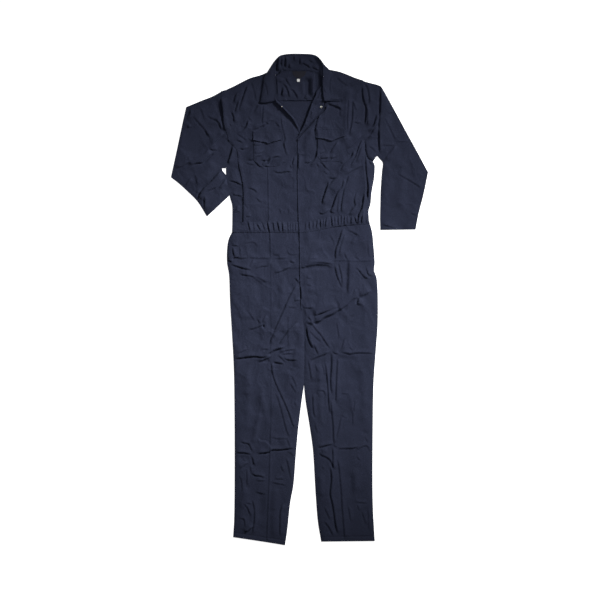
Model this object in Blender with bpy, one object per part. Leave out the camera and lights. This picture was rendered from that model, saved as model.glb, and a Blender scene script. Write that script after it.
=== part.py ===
"""A boiler suit laid out flat and face up, with its sleeves bent and its collar open.

Every piece that a maker cuts is one closed solid. X runs across the garment, Y up to the collar
and Z up from the surface it lies on; the origin is under the middle of its outline.

The cloth lies in layers. The back is flat on the surface, the fronts lie on the back, and the
pockets, flaps, collar and lapel lie on the fronts. A layer's height is held at the nodes of one
lattice that all layers share, so a piece made on top of another follows it exactly.
"""

from typing import Callable, NamedTuple, Sequence

import bpy
import numpy as np
from mathutils import Vector
from mathutils.geometry import delaunay_2d_cdt

MM = 0.001

# Cloth and seams
WALL = 1.0 * MM  # one ply of twill, as thick as a solid wall can sensibly be
SEAM = 0.3 * MM  # clearance between neighbouring pieces
LAYER = WALL + SEAM  # one piece lying on another
COLLAR_WALL = 1.6 * MM  # two plies and an interlining
COLLAR_LIFT = COLLAR_WALL + SEAM  # the yoke lies this high where the collar is folded under it
UNDERLAP = 40 * MM  # how far the under front runs on behind the upper one

# Details
FLAP_STITCH = 5 * MM  # the bag starts this far below the flap's top edge
STUD_RADIUS = 5.2 * MM
SOCKET_RADIUS = 3.0 * MM
STUD_HEIGHT = 2.2 * MM
LABEL_RADIUS = 24.5 * MM
TAG_WIDTH, TAG_HEIGHT = 13.5 * MM, 12.0 * MM
EDGE_STRIP = 5 * MM  # how much of the left facing rolls out along the front edge

# The lattice that carries the heights
CELL_X, CELL_Y = 29 * MM, 31 * MM
LATTICE_REACH_X, LATTICE_REACH_Y = 300 * MM, 900 * MM
MERGE = 0.02 * MM  # a new point this near to another one is the same point


class Pt(NamedTuple):
    """A point of a seam or an edge, in millimetres across and up the garment."""

    x: float
    y: float


class Fold(NamedTuple):
    """A soft swell in the upper cloth: where it starts and ends, its half width and its height."""

    x0: float
    y0: float
    x1: float
    y1: float
    spread: float
    height: float


class Station(NamedTuple):
    """A ring of a sleeve: its outer edge, its inner edge, how far it bows and how high it lies."""

    outer_x: float
    outer_y: float
    inner_x: float
    inner_y: float
    bow: float
    air: float


Line = Sequence[Pt]
Level = Callable[[float, float], float]

# Seams and edges, from the collar down. Left and right are as seen from above.
SHOULDER_LEFT = [
    Pt(-92, 826), Pt(-118, 817), Pt(-140, 808), Pt(-178, 797), Pt(-236, 768), Pt(-264, 755),
]
SHOULDER_RIGHT = [Pt(92, 829), Pt(115, 826), Pt(140, 821), Pt(164, 813), Pt(200, 798)]
NECK_SIDE_LEFT = [Pt(-92, 826), Pt(-88, 800)]
NECK_SIDE_RIGHT = [Pt(92, 829), Pt(85, 800)]
NECK_SEAM = [
    Pt(-88, 800), Pt(-75, 811), Pt(-62, 821), Pt(-40, 825), Pt(38, 824), Pt(63, 817), Pt(85, 800),
]
FRONT_EDGE_LEFT = [
    Pt(-88, 800), Pt(-85, 750), Pt(-81, 710), Pt(-64, 696), Pt(-40, 669), Pt(-22, 650), Pt(-9, 629),
    Pt(3, 602),
]
ROLL_LINE = [
    Pt(85, 800), Pt(79, 770), Pt(60, 736), Pt(44, 714), Pt(27, 670), Pt(14, 632), Pt(3, 605),
    Pt(-6, 584),
]
CENTRE_BODICE = [Pt(-6, 584), Pt(-7, 440), Pt(-5, 340), Pt(-3, 279)]
CENTRE_FLY = [Pt(0, 241), Pt(1, 160), Pt(2, 80), Pt(5, 0), Pt(6, -33)]
CROTCH = [Pt(6, -33), Pt(11, -56)]
YOKE_SEAM_Y = 716 * MM
SIDE_LEFT = [
    Pt(-247, 562), Pt(-248, 543), Pt(-255, 515), Pt(-260, 490), Pt(-261, 446), Pt(-256, 405),
    Pt(-250, 366), Pt(-243, 340), Pt(-242, 279),
]
SIDE_RIGHT = [
    Pt(234, 572), Pt(238, 530), Pt(247, 505), Pt(262, 491), Pt(268, 474), Pt(264, 435), Pt(257, 385),
    Pt(253, 340), Pt(246, 318), Pt(249, 290),
]
SIDE_SEAM_LEFT = [
    Pt(-247, 562), Pt(-226, 540), Pt(-219, 490), Pt(-208, 440), Pt(-202, 400), Pt(-202, 279),
]
SIDE_SEAM_RIGHT = [
    Pt(234, 572), Pt(236, 530), Pt(238, 490), Pt(241, 440), Pt(243, 390), Pt(229, 352), Pt(226, 293),
]
WAIST_TOP_LEFT = [Pt(-242, 279), Pt(-202, 279), Pt(-3, 279)]
WAIST_TOP_RIGHT = [
    Pt(-3, 279), Pt(40, 282), Pt(110, 297), Pt(160, 302), Pt(200, 298), Pt(226, 293), Pt(249, 290),
]
WAIST_FOOT_LEFT = [Pt(-243, 242), Pt(-203, 242), Pt(0, 241)]
WAIST_FOOT_RIGHT = [Pt(0, 241), Pt(40, 245), Pt(110, 259), Pt(160, 267), Pt(226, 271), Pt(253, 273)]
BAND_END_LEFT = [Pt(-202, 279), Pt(-203, 242)]
BAND_END_RIGHT = [Pt(226, 293), Pt(226, 271)]
OUTSEAM_LEFT = [
    Pt(-243, 242), Pt(-254, 220), Pt(-260, 190), Pt(-261, 133), Pt(-254, 90), Pt(-250, -11),
    Pt(-243, -126), Pt(-236, -270), Pt(-235, -780), Pt(-239, -856),
]
OUTSEAM_RIGHT = [
    Pt(253, 273), Pt(261, 245), Pt(267, 190), Pt(271, 133), Pt(269, 104), Pt(278, 76), Pt(282, -80),
    Pt(275, -184), Pt(267, -300), Pt(264, -470), Pt(264, -730), Pt(271, -870),
]
INSEAM_TOUCHING = [Pt(11, -56), Pt(17, -110), Pt(18, -200), Pt(16, -308)]
INSEAM_LEFT = [
    Pt(16, -308), Pt(6, -380), Pt(-5, -470), Pt(-13, -560), Pt(-22, -670), Pt(-33, -730),
    Pt(-44, -830), Pt(-52, -885),
]
INSEAM_RIGHT = [
    Pt(16, -308), Pt(21, -360), Pt(37, -460), Pt(48, -540), Pt(58, -700), Pt(66, -800), Pt(78, -872),
]
HEM_LEFT = [Pt(-239, -856), Pt(-120, -874), Pt(-52, -885)]
HEM_RIGHT = [Pt(271, -870), Pt(78, -872)]

# Collar, lapel and what is sewn on
COLLAR_ROLL = [
    Pt(-88, 800), Pt(-89, 825), Pt(-86, 848), Pt(-78, 866), Pt(-64, 880), Pt(-50, 884), Pt(0, 885),
    Pt(58, 879), Pt(74, 863), Pt(83, 846), Pt(85, 820), Pt(85, 800),
]
COLLAR_OUTER_LEFT = [
    Pt(-64, 880), Pt(-74, 875), Pt(-92, 859), Pt(-103, 840), Pt(-117, 818), Pt(-126, 802),
    Pt(-131, 780), Pt(-136, 750), Pt(-143, 708),
]
COLLAR_FOOT_LEFT = [Pt(-143, 708), Pt(-120, 709), Pt(-99, 713), Pt(-81, 718)]
COLLAR_INNER_LEFT = [
    Pt(-81, 718), Pt(-84, 750), Pt(-88, 800), Pt(-89, 825), Pt(-86, 848), Pt(-78, 866), Pt(-64, 880),
]
COLLAR_OUTER_RIGHT = [
    Pt(58, 879), Pt(76, 864), Pt(90, 845), Pt(106, 829), Pt(119, 812), Pt(124, 790), Pt(129, 754),
    Pt(147, 714),
]
COLLAR_FOOT_RIGHT = [Pt(147, 714), Pt(120, 714), Pt(90, 715)]
COLLAR_END_RIGHT = [Pt(90, 715), Pt(86, 740), Pt(84, 770)]
COLLAR_INNER_RIGHT = [Pt(84, 770), Pt(85, 800), Pt(85, 820), Pt(83, 846), Pt(74, 863), Pt(58, 879)]
COLLAR_UNDER_FOOT = [Pt(100, 809), Pt(0, 807), Pt(-104, 809)]
LAPEL_EDGE = [
    Pt(-6, 584), Pt(9, 603), Pt(22, 619), Pt(40, 637), Pt(58, 655), Pt(72, 668), Pt(87, 683),
    Pt(92, 696), Pt(90, 715),
]
BAG_LEFT = [Pt(-164, 608), Pt(-164, 500), Pt(-146, 480), Pt(-80, 480), Pt(-62, 500), Pt(-62, 609)]
BAG_RIGHT = [Pt(63, 617), Pt(63, 516), Pt(80, 498), Pt(148, 498), Pt(168, 518), Pt(168, 620)]
FLAP_LEFT = [Pt(-166, 608), Pt(-166, 575), Pt(-111, 561), Pt(-61, 576), Pt(-61, 610)]
FLAP_RIGHT = [Pt(61, 618), Pt(61, 583), Pt(119, 571), Pt(170, 588), Pt(170, 621)]
HIP_TAB = [Pt(-255, 199), Pt(-258, 150), Pt(-215, 150), Pt(-217, 194)]
STUD_AT = Pt(78.5, 693.5)
SOCKET_AT = Pt(-62, 690)
LABEL_AT = Pt(-1, 822)
TAG_AT = Pt(-4, 789)

# The sleeves, ring by ring from the armhole to the cuff
SLEEVE_LEFT = [
    Station(-279, 750, -247, 562, 9, 0.8),
    Station(-312, 732, -251, 543, 7, 1.8),
    Station(-360, 713, -258, 517, 5, 2.0),
    Station(-408, 693, -268, 497, 3, 1.6),
    Station(-420, 640, -279, 481, 0, 1.4),
    Station(-437, 560, -281, 473, 0, 2.2),
    Station(-463, 440, -276, 460, 0, 2.6),
    Station(-434, 417, -268, 447, 0, 1.6),
    Station(-400, 386, -263, 430, 0, 1.4),
    Station(-367, 352, -259, 402, 0, 1.2),
    Station(-333, 298, -253, 372, 0, 0.8),
]
SLEEVE_RIGHT = [
    Station(226, 788, 234, 572, 8, 0.8),
    Station(252, 780, 249, 523, 5, 1.2),
    Station(280, 773, 264, 503, 3, 1.0),
    Station(293, 767, 280, 522, 0, 1.0),
    Station(300, 757, 292, 506, 0, 2.8),
    Station(340, 685, 299, 493, 0, 2.8),
    Station(385, 602, 297, 460, 0, 2.4),
    Station(430, 520, 294, 420, 0, 2.0),
    Station(463, 458, 292, 390, 0, 1.8),
    Station(447, 380, 291, 340, 0, 1.6),
    Station(428, 305, 290, 295, 0, 1.2),
    Station(418, 252, 291, 250, 0, 0.8),
]
SLEEVE_STEPS = 7  # how many strips each half of a ring is made of
SLEEVE_FOLD = 1.6 * MM  # the cloth that a sleeve's folded edge takes

# The largest folds of the fronts
FOLDS = [
    Fold(45, -80, 120, -50, 26, 2.6),  # the big diagonal fold, from the crotch
    Fold(120, -50, 200, 5, 26, 3.4),
    Fold(200, 5, 240, 25, 24, 2.4),
    Fold(20, 135, 110, 135, 24, 2.6),  # the fold line across the right hip
    Fold(135, 200, 150, 60, 22, 2.2),
    Fold(-200, 148, -60, 148, 22, 1.6),  # the same line across the left hip
    Fold(-215, -212, -110, -205, 24, 2.6),  # the thighs' cross folds
    Fold(-110, -205, -50, -190, 22, 2.6),
    Fold(60, -200, 230, -194, 24, 2.2),
    Fold(-200, -560, -50, -548, 24, 2.0),  # the knees' cross folds
    Fold(90, -552, 230, -545, 24, 1.8),
    Fold(-100, -240, -30, -440, 22, 2.2),  # from the thigh to the inner knee
    Fold(115, -270, 120, -500, 20, 2.4),
    Fold(118, -600, 140, -840, 22, 2.6),
    Fold(190, 530, 120, 400, 24, 2.6),  # from the right underarm to the waist
    Fold(165, 440, 120, 340, 22, 2.4),
    Fold(-190, 560, -110, 620, 24, 2.2),  # from the left underarm to the pocket
    Fold(-150, 320, -40, 318, 26, 2.2),  # cloth that sags over the waistband
    Fold(30, 330, 190, 345, 26, 2.4),
    Fold(-50, 680, -20, 640, 20, 2.0),  # the left front's lifted edge
    Fold(180, 740, 190, 640, 20, 2.2),
    Fold(-200, 730, -170, 650, 22, 2.2),
]
MOST_AIR = 3.4 * MM  # the upper cloth never stands higher than this off the cloth below it


def material(
    name: str, colour: tuple[float, float, float], roughness: float, metallic: float = 0.0
) -> bpy.types.Material:
    """Makes one plain Principled material from a linear colour."""
    made = bpy.data.materials.new(name)
    made.use_nodes = True
    shader = made.node_tree.nodes["Principled BSDF"]
    shader.inputs["Base Color"].default_value = (*colour, 1.0)
    shader.inputs["Roughness"].default_value = roughness
    shader.inputs["Metallic"].default_value = metallic
    return made


def in_metres(line: Line) -> np.ndarray:
    """The line's points in metres, one row each."""
    return np.array(line, float) * MM


def bowed(start: Pt, end: Pt, bow: float, steps: int) -> np.ndarray:
    """Points in metres from start to end, pushed sideways in a shallow arch."""
    first, last = in_metres([start, end])
    along = np.linspace(0.0, 1.0, steps + 1)[:, None]
    direction = (last - first) / np.linalg.norm(last - first)
    sideways = np.array([-direction[1], direction[0]])
    return first + along * (last - first) + sideways * (4 * bow * MM) * along * (1 - along)


def armhole(station: Station, outward: float) -> np.ndarray:
    """The curve, in metres, on which a sleeve meets the body, from the shoulder to the underarm."""
    outer = Pt(station.outer_x, station.outer_y)
    inner = Pt(station.inner_x, station.inner_y)
    return bowed(outer, inner, outward * station.bow, SLEEVE_STEPS)


def joined(*lines: Line | np.ndarray) -> np.ndarray:
    """One closed outline, in metres and turning left, from lines that follow each other."""
    points: list[np.ndarray] = []
    for line in lines:
        stretch = line if isinstance(line, np.ndarray) else in_metres(line)
        for point in stretch:
            if not points or np.linalg.norm(point - points[-1]) > MERGE:
                points.append(point)
    if np.linalg.norm(points[0] - points[-1]) < MERGE:
        points.pop()
    outline = np.array(points)
    following = np.roll(outline, -1, axis=0)
    area = np.sum(outline[:, 0] * following[:, 1] - following[:, 0] * outline[:, 1])
    return outline if area > 0 else outline[::-1]


def inset(outline: np.ndarray, distance: float) -> np.ndarray:
    """The outline moved in by a distance on every side, so that two neighbours stay apart."""
    before = outline - np.roll(outline, 1, axis=0)
    after = np.roll(outline, -1, axis=0) - outline
    before /= np.linalg.norm(before, axis=1)[:, None]
    after /= np.linalg.norm(after, axis=1)[:, None]
    normal_before = np.stack([-before[:, 1], before[:, 0]], axis=1)
    normal_after = np.stack([-after[:, 1], after[:, 0]], axis=1)
    middle = normal_before + normal_after
    scale = 1.0 + np.sum(normal_before * normal_after, axis=1)
    return outline + distance * middle / np.maximum(scale, 0.08)[:, None]


def inside(outline: np.ndarray, x: float, y: float) -> bool:
    """Whether a point lies in the outline, by the crossings of a ray to its right."""
    crossings = 0
    for (x0, y0), (x1, y1) in zip(outline, np.roll(outline, -1, axis=0)):
        if (y0 > y) != (y1 > y) and x < x0 + (y - y0) * (x1 - x0) / (y1 - y0):
            crossings += 1
    return crossings % 2 == 1


class Lattice:
    """The grid of triangles whose nodes hold how high each layer lies."""

    def __init__(self) -> None:
        self.columns = np.arange(-LATTICE_REACH_X, LATTICE_REACH_X + CELL_X, CELL_X)
        self.rows = np.arange(-LATTICE_REACH_Y, LATTICE_REACH_Y + CELL_Y, CELL_Y)

    def field(self, height: Level) -> np.ndarray:
        """The height at every node."""
        return np.array([[height(x, y) for x in self.columns] for y in self.rows])

    def read(self, field: np.ndarray, x: float, y: float) -> float:
        """The field at a point, on the flat triangle that it falls in."""
        column = min(int((x - self.columns[0]) / CELL_X), len(self.columns) - 2)
        row = min(int((y - self.rows[0]) / CELL_Y), len(self.rows) - 2)
        across = (x - self.columns[column]) / CELL_X
        up = (y - self.rows[row]) / CELL_Y
        low, right = field[row, column], field[row, column + 1]
        top, far = field[row + 1, column], field[row + 1, column + 1]
        if across >= up:
            return low + (right - low) * across + (far - right) * up
        return low + (top - low) * up + (far - top) * across

    def edges_over(self, outline: np.ndarray) -> tuple[list[tuple[float, float]], list[tuple[int, int]]]:
        """The nodes and edges of every cell that the outline's box reaches."""
        low, high = outline.min(axis=0), outline.max(axis=0)
        columns = [x for x in self.columns if low[0] - CELL_X < x < high[0] + CELL_X]
        rows = [y for y in self.rows if low[1] - CELL_Y < y < high[1] + CELL_Y]
        nodes = [(x, y) for y in rows for x in columns]
        width = len(columns)
        edges = []
        for row in range(len(rows)):
            for column in range(width):
                here = row * width + column
                if column + 1 < width:
                    edges.append((here, here + 1))
                if row + 1 < len(rows):
                    edges.append((here, here + width))
                if column + 1 < width and row + 1 < len(rows):
                    edges.append((here, here + width + 1))
        return nodes, edges


LATTICE = Lattice()


def falling(distance: float, full: float, none: float) -> float:
    """1 up to the distance full, 0 from the distance none, and a straight slope between."""
    return float(np.clip((none - distance) / (none - full), 0.0, 1.0))


def collar_lift(x: float, y: float) -> float:
    """How far the yoke, and all that lies on it, is lifted by the collar folded under it."""
    beside = falling(abs(x), 110 * MM + CELL_X, 110 * MM + 3 * CELL_X)
    below = falling(807 * MM - y, CELL_Y, 2.2 * CELL_Y)
    return COLLAR_LIFT * beside * below


def overlap_lift(x: float, y: float) -> float:
    """How far the right front is lifted by the left front that runs on behind it."""
    return LAYER * falling(x, UNDERLAP + CELL_X, UNDERLAP + 3 * CELL_X)


def fold_height(x: float, y: float) -> float:
    """How far the folds lift the fronts off the back."""
    total = 0.0
    for fold in FOLDS:
        start = np.array([fold.x0, fold.y0]) * MM
        reach = np.array([fold.x1, fold.y1]) * MM - start
        point = np.array([x, y]) - start
        along = float(np.clip(point @ reach / (reach @ reach), 0.0, 1.0))
        away = float(np.linalg.norm(point - along * reach)) / (fold.spread * MM)
        total = max(total, fold.height * MM * np.exp(-0.5 * away * away))
    return min(total, MOST_AIR - overlap_lift(x, y))


LIFT = LATTICE.field(collar_lift)
FOLD = LATTICE.field(fold_height)
OVERLAP = LATTICE.field(overlap_lift)


def back_level(x: float, y: float) -> float:
    """The underside of the back yoke."""
    return LATTICE.read(LIFT, x, y)


def left_level(x: float, y: float) -> float:
    """The underside of the left front, and of what continues it."""
    return LAYER + LATTICE.read(LIFT + FOLD, x, y)


def right_level(x: float, y: float) -> float:
    """The underside of the right front, which closes over the left one."""
    return LAYER + LATTICE.read(LIFT + FOLD + OVERLAP, x, y)


def floor_level(x: float, y: float) -> float:
    """The surface that the garment lies on."""
    return 0.0


def raised(level: Level, layers: float) -> Level:
    """A level so many layers of cloth above another one."""
    return lambda x, y: level(x, y) + layers * LAYER


def add_object(name: str, points: Sequence, faces: Sequence, finish: bpy.types.Material) -> bpy.types.Object:
    """Adds one mesh object to the scene."""
    mesh = bpy.data.meshes.new(name)
    mesh.from_pydata([tuple(map(float, point)) for point in points], [], faces)
    mesh.materials.append(finish)
    piece = bpy.data.objects.new(name, mesh)
    bpy.context.scene.collection.objects.link(piece)
    return piece


def sheet(
    name: str,
    outline: np.ndarray,
    level: Level,
    finish: bpy.types.Material,
    wall: float = WALL,
    on_lattice: bool = True,
) -> bpy.types.Object:
    """A piece of cloth cut to the outline and laid on a level, closed all round by its cut edge."""
    cut = inset(outline, SEAM / 2)
    count = len(cut)
    corners = [Vector(point) for point in cut]
    edges = [(i, (i + 1) % count) for i in range(count)]
    if on_lattice:
        nodes, links = LATTICE.edges_over(cut)
        corners += [Vector(node) for node in nodes]
        edges += [(a + count, b + count) for a, b in links]
    flat, _, triangles, *_ = delaunay_2d_cdt(corners, edges, [], 0, MERGE)
    kept = []
    for triangle in triangles:
        middle = sum((flat[i] for i in triangle), Vector((0.0, 0.0))) / 3
        if inside(cut, middle.x, middle.y):
            kept.append(tuple(triangle))
    used = sorted({i for triangle in kept for i in triangle})
    place = {old: new for new, old in enumerate(used)}
    lower = [(flat[i].x, flat[i].y, level(flat[i].x, flat[i].y)) for i in used]
    upper = [(x, y, z + wall) for x, y, z in lower]
    faces = []
    rim: set[tuple[int, int]] = set()
    for triangle in kept:
        a, b, c = (place[i] for i in triangle)
        faces += [(a + len(used), b + len(used), c + len(used)), (c, b, a)]
        for start, end in ((a, b), (b, c), (c, a)):
            if (end, start) in rim:
                rim.remove((end, start))
            else:
                rim.add((start, end))
    for start, end in sorted(rim):
        faces.append((start, end, end + len(used), start + len(used)))
    return add_object(name, lower + upper, faces, finish)


def grid_solid(
    name: str, outer: np.ndarray, inner: np.ndarray, closed: bool, finish: bpy.types.Material
) -> bpy.types.Object:
    """A wall between two grids of points, each a row of rings or of open sections."""
    rows, columns = outer.shape[:2]
    skin = rows * columns

    def at(row: int, column: int, side: int) -> int:
        return side * skin + row * columns + column % columns

    faces = []
    steps = columns if closed else columns - 1
    for row in range(rows - 1):
        for column in range(steps):
            here, beside = (row, column), (row, column + 1)
            above, across = (row + 1, column), (row + 1, column + 1)
            faces.append((at(*here, 0), at(*beside, 0), at(*across, 0), at(*above, 0)))
            faces.append((at(*here, 1), at(*above, 1), at(*across, 1), at(*beside, 1)))
    last = rows - 1
    for column in range(steps):
        after = column + 1
        faces.append((at(0, column, 0), at(0, column, 1), at(0, after, 1), at(0, after, 0)))
        faces.append((at(last, column, 0), at(last, after, 0), at(last, after, 1), at(last, column, 1)))
    if not closed:
        for row in range(rows - 1):
            above = row + 1
            faces.append((at(row, 0, 0), at(above, 0, 0), at(above, 0, 1), at(row, 0, 1)))
            faces.append((at(row, steps, 0), at(row, steps, 1), at(above, steps, 1), at(above, steps, 0)))
    points = np.concatenate([outer.reshape(-1, 3), inner.reshape(-1, 3)])
    return add_object(name, points, faces, finish)


def sleeve(
    name: str, stations: Sequence[Station], outward: float, finish: bpy.types.Material
) -> bpy.types.Object:
    """A flattened tube of cloth through its rings, open at the armhole and at the cuff."""
    outer_rings, inner_rings = [], []
    for index, station in enumerate(stations):
        across = armhole(station, outward)
        share = np.linspace(0.0, 1.0, len(across))
        if index == 0:
            across = across + np.array([outward * SEAM, 0.0])
        rise = 2 * LAYER + (station.air * MM) * np.sin(np.pi * share) ** 0.6
        tucked = across.copy()
        direction = (across[-1] - across[0]) / np.linalg.norm(across[-1] - across[0])
        tucked[0] += direction * SLEEVE_FOLD
        tucked[-1] -= direction * SLEEVE_FOLD
        under, over = np.zeros(len(across)), rise
        for rings, points, wall in ((outer_rings, across, 0.0), (inner_rings, tucked, WALL)):
            below = np.column_stack([points, under + wall])
            above = np.column_stack([points, over - wall])
            rings.append(np.concatenate([below, above[::-1]]))
    outer, inner = np.array(outer_rings), np.array(inner_rings)
    if outward > 0:
        outer, inner = outer[:, ::-1], inner[:, ::-1]
    return grid_solid(name, outer, inner, True, finish)


def resampled(line: Line, heights: np.ndarray) -> np.ndarray:
    """The line's places across, in metres, at the given heights up the garment."""
    points = in_metres(line)[::-1]
    return np.interp(heights, points[:, 1], points[:, 0])


def wrap(name: str, edge: Line, seam: Line, finish: bpy.types.Material) -> bpy.types.Object:
    """The strip of the back that turns over its folded edge and lies on top up to the side seam."""
    outward = float(np.sign(edge[-1].x))
    top, foot = edge[0].y * MM - SEAM, edge[-1].y * MM + SEAM
    between = {point.y * MM for point in (*edge, *seam) if foot < point.y * MM < top}
    heights = np.array([top, *sorted(between, reverse=True), foot])
    width = outward * (resampled(edge, heights) - resampled(seam, heights))
    heights = heights[width > 3 * WALL]
    fold = resampled(edge, heights) - outward * (SEAM / 2 + 0.05 * MM)
    stop = resampled(seam, heights) + outward * SEAM / 2
    low = np.full(len(heights), 0.2 * MM)
    high = np.full(len(heights), LAYER + WALL)
    outer = np.stack(
        [
            np.column_stack([fold, heights, low]),
            np.column_stack([fold, heights, high]),
            np.column_stack([stop, heights, high]),
        ],
        axis=1,
    )
    inner = np.stack(
        [
            np.column_stack([fold - outward * WALL, heights, low]),
            np.column_stack([fold - outward * WALL, heights, high - WALL]),
            np.column_stack([stop, heights, high - WALL]),
        ],
        axis=1,
    )
    if outward > 0:
        outer, inner = outer[:, ::-1], inner[:, ::-1]
    strip = grid_solid(name, outer, inner, False, finish)
    strip.hide_render = True
    strip.display_type = "WIRE"
    return strip


def unite(piece: bpy.types.Object, *others: bpy.types.Object) -> None:
    """Joins other closed meshes to a piece, so that they are one solid."""
    for other in others:
        union = piece.modifiers.new(f"with {other.name}", "BOOLEAN")
        union.operation = "UNION"
        union.object = other


def disc(name: str, at: Pt, radius: float, level: Level, finish: bpy.types.Material) -> bpy.types.Object:
    """A press stud's cap: a low dome with a rolled rim, turned round its own axis."""
    profile = [(0.0, 0.0), (1.0, 0.0), (1.0, 0.45), (0.86, 0.75), (0.5, 0.95), (0.0, 1.0)]
    sides = 20
    x, y = at.x * MM, at.y * MM
    touching = ((0, 0), (1, 0), (-1, 0), (0, 1), (0, -1))
    base = max(level(x + right * radius, y + up * radius) for right, up in touching)
    points = [(x, y, base), (x, y, base + STUD_HEIGHT)]
    for share, rise in profile[1:-1]:
        for step in range(sides):
            angle = 2 * np.pi * step / sides
            out = share * radius
            points.append((x + out * np.cos(angle), y + out * np.sin(angle), base + rise * STUD_HEIGHT))
    faces = []
    rings = len(profile) - 2
    for step in range(sides):
        after = (step + 1) % sides
        faces.append((0, 2 + after, 2 + step))
        faces.append((1, 2 + (rings - 1) * sides + step, 2 + (rings - 1) * sides + after))
        for ring in range(rings - 1):
            low, high = 2 + ring * sides, 2 + (ring + 1) * sides
            faces.append((low + step, low + after, high + after, high + step))
    return add_object(name, points, faces, finish)


def strip_along(line: Line, width: float) -> np.ndarray:
    """The outline, in metres, of a narrow strip whose right edge is the line."""
    points = in_metres(line)
    direction = np.gradient(points, axis=0)
    direction /= np.linalg.norm(direction, axis=1)[:, None]
    beside = points + np.column_stack([direction[:, 1], -direction[:, 0]]) * width
    return joined(points, beside[::-1])


def underlap_edge(top: float, foot: float) -> list[Pt]:
    """The hidden straight edge of the under front, between two heights in millimetres."""
    reach = UNDERLAP / MM
    return [Pt(reach, top), Pt(reach, foot)]


def half_disc(at: Pt, radius: float) -> np.ndarray:
    """A half moon that hangs from its straight top edge."""
    turns = np.linspace(np.pi, 2 * np.pi, 15)
    centre = in_metres([at])[0]
    return joined(centre + radius * np.column_stack([np.cos(turns), np.sin(turns)]))


def box_outline(at: Pt, width: float, height: float) -> np.ndarray:
    """An upright rectangle round its middle."""
    x, y = in_metres([at])[0]
    corners = [(-1, 1), (-1, -1), (1, -1), (1, 1)]
    return joined(np.array([(x + i * width / 2, y + j * height / 2) for i, j in corners]))


def build_back(cloth: bpy.types.Material) -> None:
    """The yoke, the back with the strips that turn over its sides, and the trouser backs."""
    left_hole, right_hole = armhole(SLEEVE_LEFT[0], -1), armhole(SLEEVE_RIGHT[0], 1)
    left_cut = np.array([np.interp(YOKE_SEAM_Y, left_hole[::-1, 1], left_hole[::-1, 0]), YOKE_SEAM_Y])
    right_cut = np.array([np.interp(YOKE_SEAM_Y, right_hole[::-1, 1], right_hole[::-1, 0]), YOKE_SEAM_Y])
    left_above = left_hole[left_hole[:, 1] > YOKE_SEAM_Y]
    right_above = right_hole[right_hole[:, 1] > YOKE_SEAM_Y]
    sheet(
        "back_yoke",
        joined(
            NECK_SEAM[::-1], NECK_SIDE_LEFT[::-1], SHOULDER_LEFT, left_above, left_cut[None],
            right_cut[None], right_above[::-1], SHOULDER_RIGHT[::-1], NECK_SIDE_RIGHT,
        ),
        back_level,
        cloth,
    )
    waist_top = [*WAIST_TOP_LEFT, *WAIST_TOP_RIGHT[1:]]
    waist_foot = [*WAIST_FOOT_LEFT, *WAIST_FOOT_RIGHT[1:]]
    body = sheet(
        "back_body",
        joined(
            left_cut[None], left_hole[left_hole[:, 1] < YOKE_SEAM_Y], SIDE_LEFT, waist_top, SIDE_RIGHT[::-1],
            right_hole[right_hole[:, 1] < YOKE_SEAM_Y][::-1], right_cut[None],
        ),
        floor_level,
        cloth,
        on_lattice=False,
    )
    unite(
        body,
        wrap("back_turn_left", SIDE_LEFT, SIDE_SEAM_LEFT, cloth),
        wrap("back_turn_right", SIDE_RIGHT, SIDE_SEAM_RIGHT, cloth),
    )
    band = sheet("back_waistband", joined(waist_top, waist_foot[::-1]), floor_level, cloth, on_lattice=False)
    band_edges_left = [WAIST_TOP_LEFT[0], WAIST_FOOT_LEFT[0]]
    band_edges_right = [WAIST_TOP_RIGHT[-1], WAIST_FOOT_RIGHT[-1]]
    unite(
        band,
        wrap("band_turn_left", band_edges_left, BAND_END_LEFT, cloth),
        wrap("band_turn_right", band_edges_right, BAND_END_RIGHT, cloth),
    )
    centre = [*CENTRE_FLY, *CROTCH[1:], *INSEAM_TOUCHING[1:]]
    sheet(
        "trouser_back_left",
        joined(WAIST_FOOT_LEFT, centre, INSEAM_LEFT, HEM_LEFT[::-1], OUTSEAM_LEFT[::-1]),
        floor_level,
        cloth,
        on_lattice=False,
    )
    sheet(
        "trouser_back_right",
        joined(WAIST_FOOT_RIGHT, OUTSEAM_RIGHT, HEM_RIGHT, INSEAM_RIGHT[::-1], centre[::-1]),
        floor_level,
        cloth,
        on_lattice=False,
    )


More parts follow.
